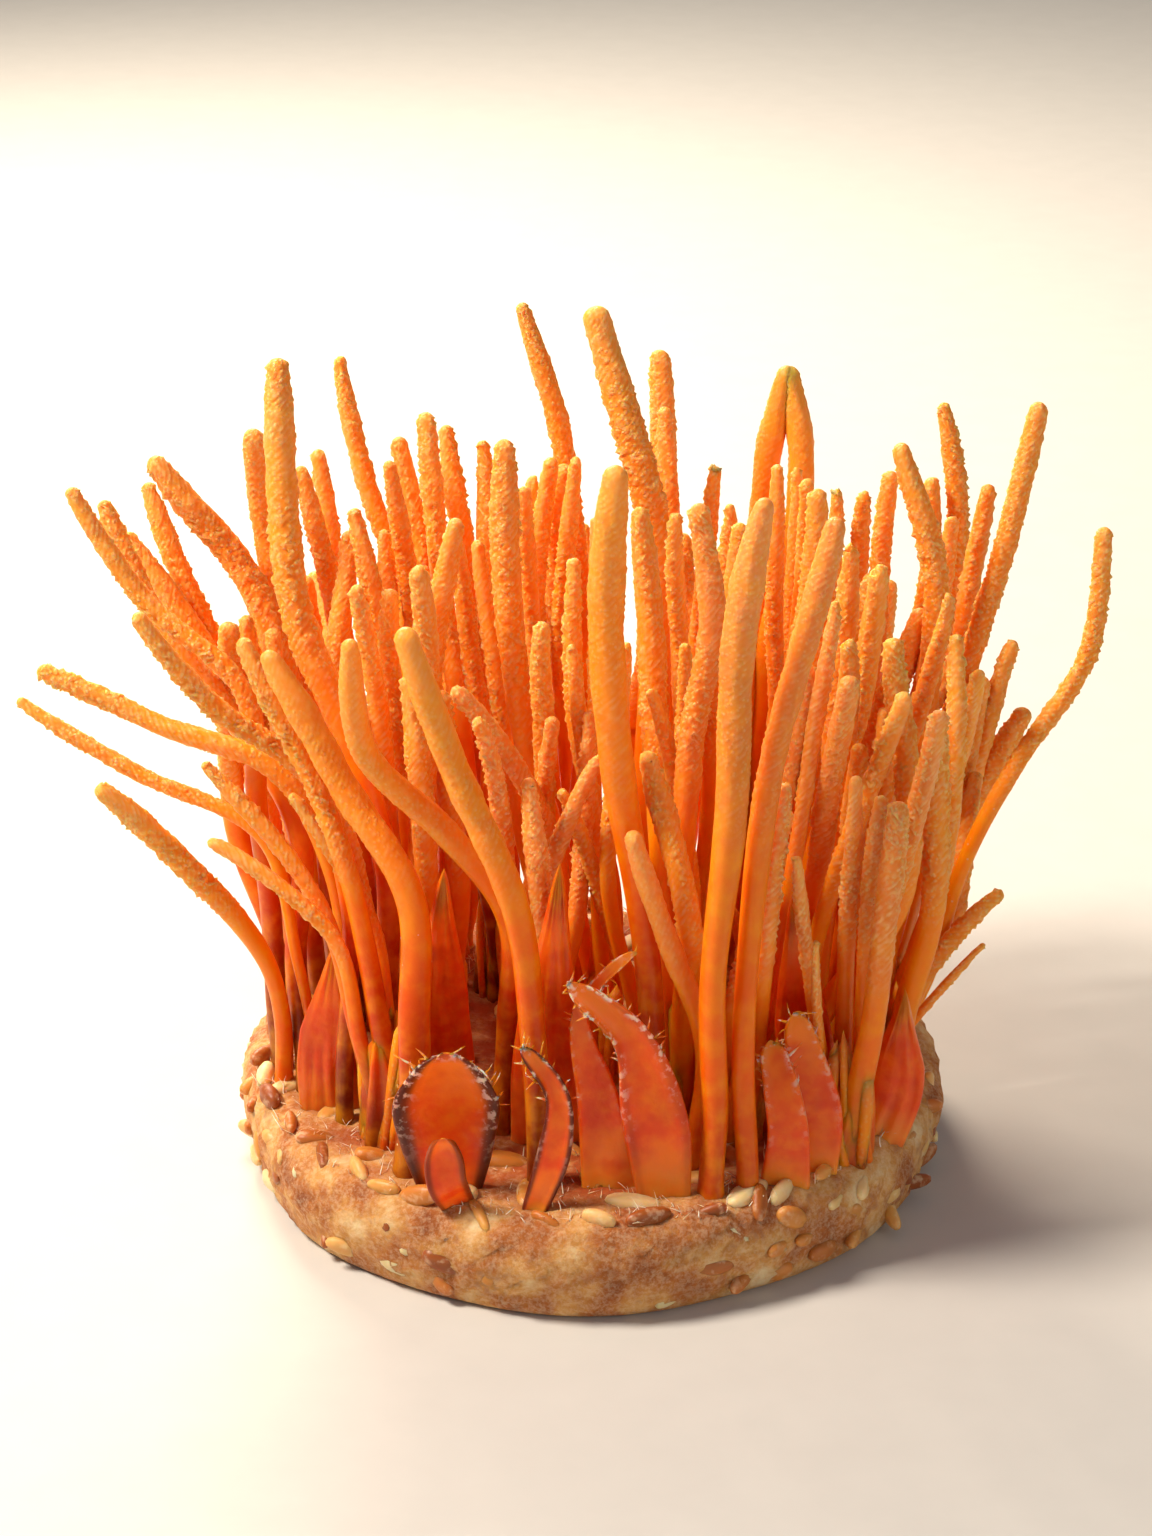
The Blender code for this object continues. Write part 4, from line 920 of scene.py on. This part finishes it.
def closed_mesh(name, surfaces):
    """One mesh from grids of points, each closed round, pointed at its start, capped at its end."""
    places, quads, tris, caps = [], [], [], []
    values = {key: [] for key in surfaces[0][1]}
    first = 0
    for surface, given in surfaces:
        rows, sides = surface.shape[:2]
        places.append(surface[0, :1])
        places.append(surface[1:].reshape(-1, 3))
        for key, value in given.items():
            values[key].append(value[0, :1])
            values[key].append(value[1:].reshape(-1))
        index = first + 1 + np.arange((rows - 1) * sides).reshape(rows - 1, sides)
        after = np.roll(index, -1, axis=1)
        tris.append(np.stack([np.full(sides, first), after[0], index[0]], axis=1))
        quads.append(np.stack([index[:-1], after[:-1], after[1:], index[1:]], axis=2).reshape(-1, 4))
        centre = first + 1 + (rows - 1) * sides
        places.append(surface[-1].mean(axis=0)[None])
        for key, value in given.items():
            values[key].append(value[-1, :1])
        caps.append(np.stack([np.full(sides, centre), index[-1], after[-1]], axis=1))
        first = centre + 1
    places, tris, quads = np.vstack(places), np.vstack(tris + caps), np.vstack(quads)
    loops = np.concatenate([tris.reshape(-1), quads.reshape(-1)])
    sizes = np.concatenate([np.full(len(tris), 3), np.full(len(quads), 4)])
    mesh = bpy.data.meshes.new(name)
    mesh.vertices.add(len(places))
    mesh.vertices.foreach_set("co", places.reshape(-1))
    mesh.loops.add(len(loops))
    mesh.loops.foreach_set("vertex_index", loops)
    mesh.polygons.add(len(sizes))
    mesh.polygons.foreach_set("loop_start", np.concatenate([[0], np.cumsum(sizes)[:-1]]))
    mesh.update(calc_edges=True)
    mesh.validate()
    for key, parts in values.items():
        layer = mesh.attributes.new(key, "FLOAT", "POINT")
        layer.data.foreach_set("value", np.concatenate(parts).astype(np.float32))
    mesh.shade_smooth()
    return mesh


def place_piece(name, mesh, material, node):
    """Puts a mesh in the scene as a visual piece of a CAD node."""
    mesh.materials.append(material)
    piece = bpy.data.objects.new(name, mesh)
    bpy.context.scene.collection.objects.link(piece)
    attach(piece, "root")
    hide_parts(node)


def kernel_grid(centre, lengthways, upright, length, width):
    """A swollen grain: an egg with a crease down one side."""
    lengthways = lengthways / np.linalg.norm(lengthways)
    across = np.cross(lengthways, upright)
    across /= np.linalg.norm(across)
    outward = np.cross(across, lengthways)
    tilt = np.linspace(0, math.pi, KERNEL_ROWS)
    turn = turns_of(KERNEL_SIDES)
    crease = 1 - CREASE_DEPTH * np.exp(-((turn - math.pi / 2) / CREASE_BREADTH) ** 2)
    around = np.cos(turn)[:, None] * across + np.sin(turn)[:, None] * outward * KERNEL_FLATNESS
    reach = np.sin(tilt)[:, None] ** KERNEL_FULLNESS * width / 2
    body = reach[..., None] * around[None] * crease[None, :, None]
    grid = centre + body - (np.cos(tilt) * length / 2)[:, None, None] * lengthways
    return grid, {"tone": np.full(grid.shape[:2], rng.random())}


def cake_grid():
    """The cake's skin: one grid from the middle of its top, over the side, to the flat underside."""
    ledge_reach, ledge_rows = CAKE_LEDGE
    ledge = tuple((reach, CAKE_TOP / MM) for reach in np.linspace(0, ledge_reach, ledge_rows))
    profile = np.array(ledge + CAKE_WALL + CAKE_UNDERSIDE) * MM
    reach, level = profile[:, :1], profile[:, 1:]
    turn = turns_of(CAKE_SIDES)
    rough = rng.normal(0, CAKE_GRAIN, (len(profile), CAKE_SIDES))
    lumps = waves(reach / CAKE_LUMP_REACH + level / CAKE_LUMP_RISE, turn[None] * CAKE_LUMPS_ROUND,
                  count=9, reach=3.0)
    rough += CAKE_LUMPS * lumps
    above = np.clip(level / CAKE_FLAT_BELOW, 0, 1)
    off_axis = np.clip(reach / CAKE_FLAT_WITHIN, 0, 1)
    wave = sum(high * np.sin(count * turn + phase) for high, count, phase in CAKE_WAVES) * MM
    out = reach + wave * np.clip(reach / CAKE_RADIUS, 0, 1) ** 3 + rough * above * off_axis
    rise = np.where(reach < CAKE_SHOULDER, CAKE_RISE_ON_TOP, CAKE_RISE_ON_SIDE)
    height = level + rough * above * rise
    grid = np.stack([out * np.cos(turn), out * np.sin(turn), height * np.ones(CAKE_SIDES)], axis=2)
    grid = grid[:, ::-1]
    stain = np.clip((CAKE_SHOULDER - reach) / CAKE_STAIN_FADE, 0, 1) * (level > CAKE_TOP / 2)
    return grid, {"tone": np.zeros(grid.shape[:2]) + stain}


def side_kernels():
    """Kernels that lie on the cake's shoulder and stick out of its side."""
    kernels = []
    for ring, (reach, level, count) in enumerate(KERNEL_RINGS):
        for k in range(count):
            angle = FULL_TURN * (k + 0.5 * (ring % 2) + rng.uniform(*SIDE_KERNEL_SLIPS)) / count
            out = np.array([math.cos(angle), math.sin(angle), 0.0])
            around = np.array([-math.sin(angle), math.cos(angle), 0.0])
            centre = out * (reach - SIDE_KERNEL_DEPTH + rng.uniform(*SIDE_KERNEL_REACHES)) * MM
            centre[2] = (level + rng.uniform(*SIDE_KERNEL_LIFTS)) * MM
            length = rng.uniform(*SIDE_KERNEL_LENGTHS) * MM
            width = rng.uniform(*SIDE_KERNEL_WIDTHS) * MM
            lean = around + rng.normal(0, SIDE_KERNEL_SCATTER, 3) * SIDE_KERNEL_LEAN
            kernels.append(kernel_grid(centre, lean, out, length, width))
    return kernels


def top_kernels():
    """Kernels that lie half sunk in the cake's top, spread in a spiral."""
    kernels = []
    nearest, band = TOP_KERNEL_REACH
    upright = np.array([0, 0, 1.0])
    for k in range(TOP_KERNELS):
        angle = GOLDEN_ANGLE * k
        reach = (nearest + band * math.sqrt((k + 0.5) / TOP_KERNELS)) * MM
        centre = np.array([reach * math.cos(angle), reach * math.sin(angle), CAKE_TOP - TOP_KERNEL_DEPTH])
        lean = rng.normal(0, 1, 3) * TOP_KERNEL_LEAN
        length = rng.uniform(*TOP_KERNEL_LENGTHS) * MM
        width = rng.uniform(*TOP_KERNEL_WIDTHS) * MM
        kernels.append(kernel_grid(centre, lean, upright, length, width))
    return kernels


def build_cake(skin, grain):
    """The cake with its swollen kernels, none of which reaches below the floor."""
    skin_mesh = closed_mesh("cake_skin", [cake_grid()])
    kernels = side_kernels()
    kernels += top_kernels()
    for grid, _ in kernels:
        grid[..., 2] = np.maximum(grid[..., 2], LOWEST_KERNEL)
    place_piece("cake_skin", skin_mesh, skin, "substrate_cake")
    place_piece("cake_kernels", closed_mesh("cake_kernels", kernels), grain, "substrate_cake")


def build_wool(wool):
    """White mycelium wool: short fine hairs on the cake's top, thickest towards its rim."""
    hairs = []
    nearest, band = WOOL_BAND
    for _ in range(WOOL_HAIRS):
        reach = CAKE_RADIUS * (nearest + band * math.sqrt(rng.random()))
        angle = rng.uniform(0, FULL_TURN)
        base = np.array([reach * math.cos(angle), reach * math.sin(angle), CAKE_TOP - WOOL_DEPTH])
        lean = np.array([*rng.normal(0, WOOL_SCATTER, 2), 1.0])
        grid = sliver(base, lean, rng.uniform(*WOOL_LENGTHS), rng.uniform(*WOOL_RADII),
                      rng.normal(0, WOOL_SCATTER, 3) * WOOL_BEND, rows=4, sides=3)
        hairs.append((grid, {"tone": np.full(grid.shape[:2], rng.random())}))
    place_piece("cake_wool", closed_mesh("cake_wool", hairs), wool, "substrate_cake")


def chosen(table, name, usual):
    """The table's value for the first of its words that is in the name, or else the usual one."""
    return next((value for word, value in table.items() if word in name), usual)


def build_clubs(flesh, blade):
    """One visual piece for each CAD node but the cake: its clubs, with a tuft's trunk and young clubs."""
    slots = {entry["node"]: entry["material_slot"] for entry in frame["record"]["subparts"]}
    for node in sorted(frame["nodes"]):
        slot = slots[node]
        if node == "substrate_cake":
            continue
        lines = middle_line(node)
        if node.startswith("blade_"):
            looks = [chosen(table, node, 0) for table in (DARK_RIMS, FROST, CUPS, RIBS)]
            surfaces = [blade_surface(line, *looks) for line in lines]
            surfaces += frills(*surfaces[0], int(FRILLS * looks[1]))
            material = blade
        else:
            granules = chosen(GRANULES, node, 1.0)
            specks = chosen(SPECKS, node, 0.0)
            surfaces = [club_surface(line, granules, specks) for line in lines]
            if node.startswith("tuft_"):
                places, _ = welded(node)
                surfaces.append(trunk_surface(places))
                surfaces += buds(places, BUDS)
            material = flesh[slot]
        place_piece(node + "_visual", closed_mesh(node + "_visual", surfaces), material, node)


def area_light(name, place, size, power, colour):
    """A round soft light that faces the middle of the bunch."""
    data = bpy.data.lights.new(name, "AREA")
    data.shape = "DISK"
    data.size = size
    data.energy = power
    data.color = linear(colour)[:3]
    light = bpy.data.objects.new(name, data)
    bpy.context.scene.collection.objects.link(light)
    light.location = place
    across, deep, up = np.array(LIGHTS_AIM) - np.array(place)
    tilt = math.atan2(math.hypot(across, deep), -up)
    light.rotation_euler = (tilt, 0, math.atan2(deep, across) - math.pi / 2)


def build_studio():
    """Pale floor, soft warm key from the upper left, fill from the right, light from behind."""
    mesh = bpy.data.meshes.new("floor")
    corners = [(x * FLOOR_REACH, y * FLOOR_REACH, 0) for x, y in ((-1, -1), (1, -1), (1, 1), (-1, 1))]
    mesh.from_pydata(corners, [], [(0, 1, 2, 3)])
    mesh.materials.append(floor_paint())
    floor = bpy.data.objects.new("floor", mesh)
    bpy.context.scene.collection.objects.link(floor)
    for name, settings in LIGHTS.items():
        area_light(name, *settings)
    world = bpy.data.worlds.new("studio")
    world.use_nodes = True
    sky = world.node_tree.nodes["Background"]
    sky.inputs["Color"].default_value = linear(SKY_COLOUR)
    sky.inputs["Strength"].default_value = SKY_STRENGTH
    bpy.context.scene.world = world
    bpy.context.scene.view_settings.view_transform = "Standard"


def build_camera():
    """A camera at the photo's place, without depth of field."""
    data = bpy.data.cameras.new("camera")
    data.sensor_fit = "VERTICAL"
    data.sensor_height = SENSOR
    data.lens = SENSOR * CAMERA_DISTANCE / FRAME_HEIGHT_AT_AIM
    data.clip_start = NEAREST_SEEN
    camera = bpy.data.objects.new("camera", data)
    bpy.context.scene.collection.objects.link(camera)
    back = np.array([0.0, -math.cos(CAMERA_TILT), math.sin(CAMERA_TILT)])
    camera.location = np.array(CAMERA_AIM) + back * CAMERA_DISTANCE
    camera.rotation_euler = (math.pi / 2 - CAMERA_TILT, 0, 0)
    bpy.context.scene.camera = camera


build_camera()
build_studio()
build_clubs({slot: club_flesh(*looks) for slot, looks in FLESH.items()}, blade_flesh())
build_cake(cake_skin(), kernel_flesh())
build_wool(mycelium_wool())

bpy.context.view_layer.update()
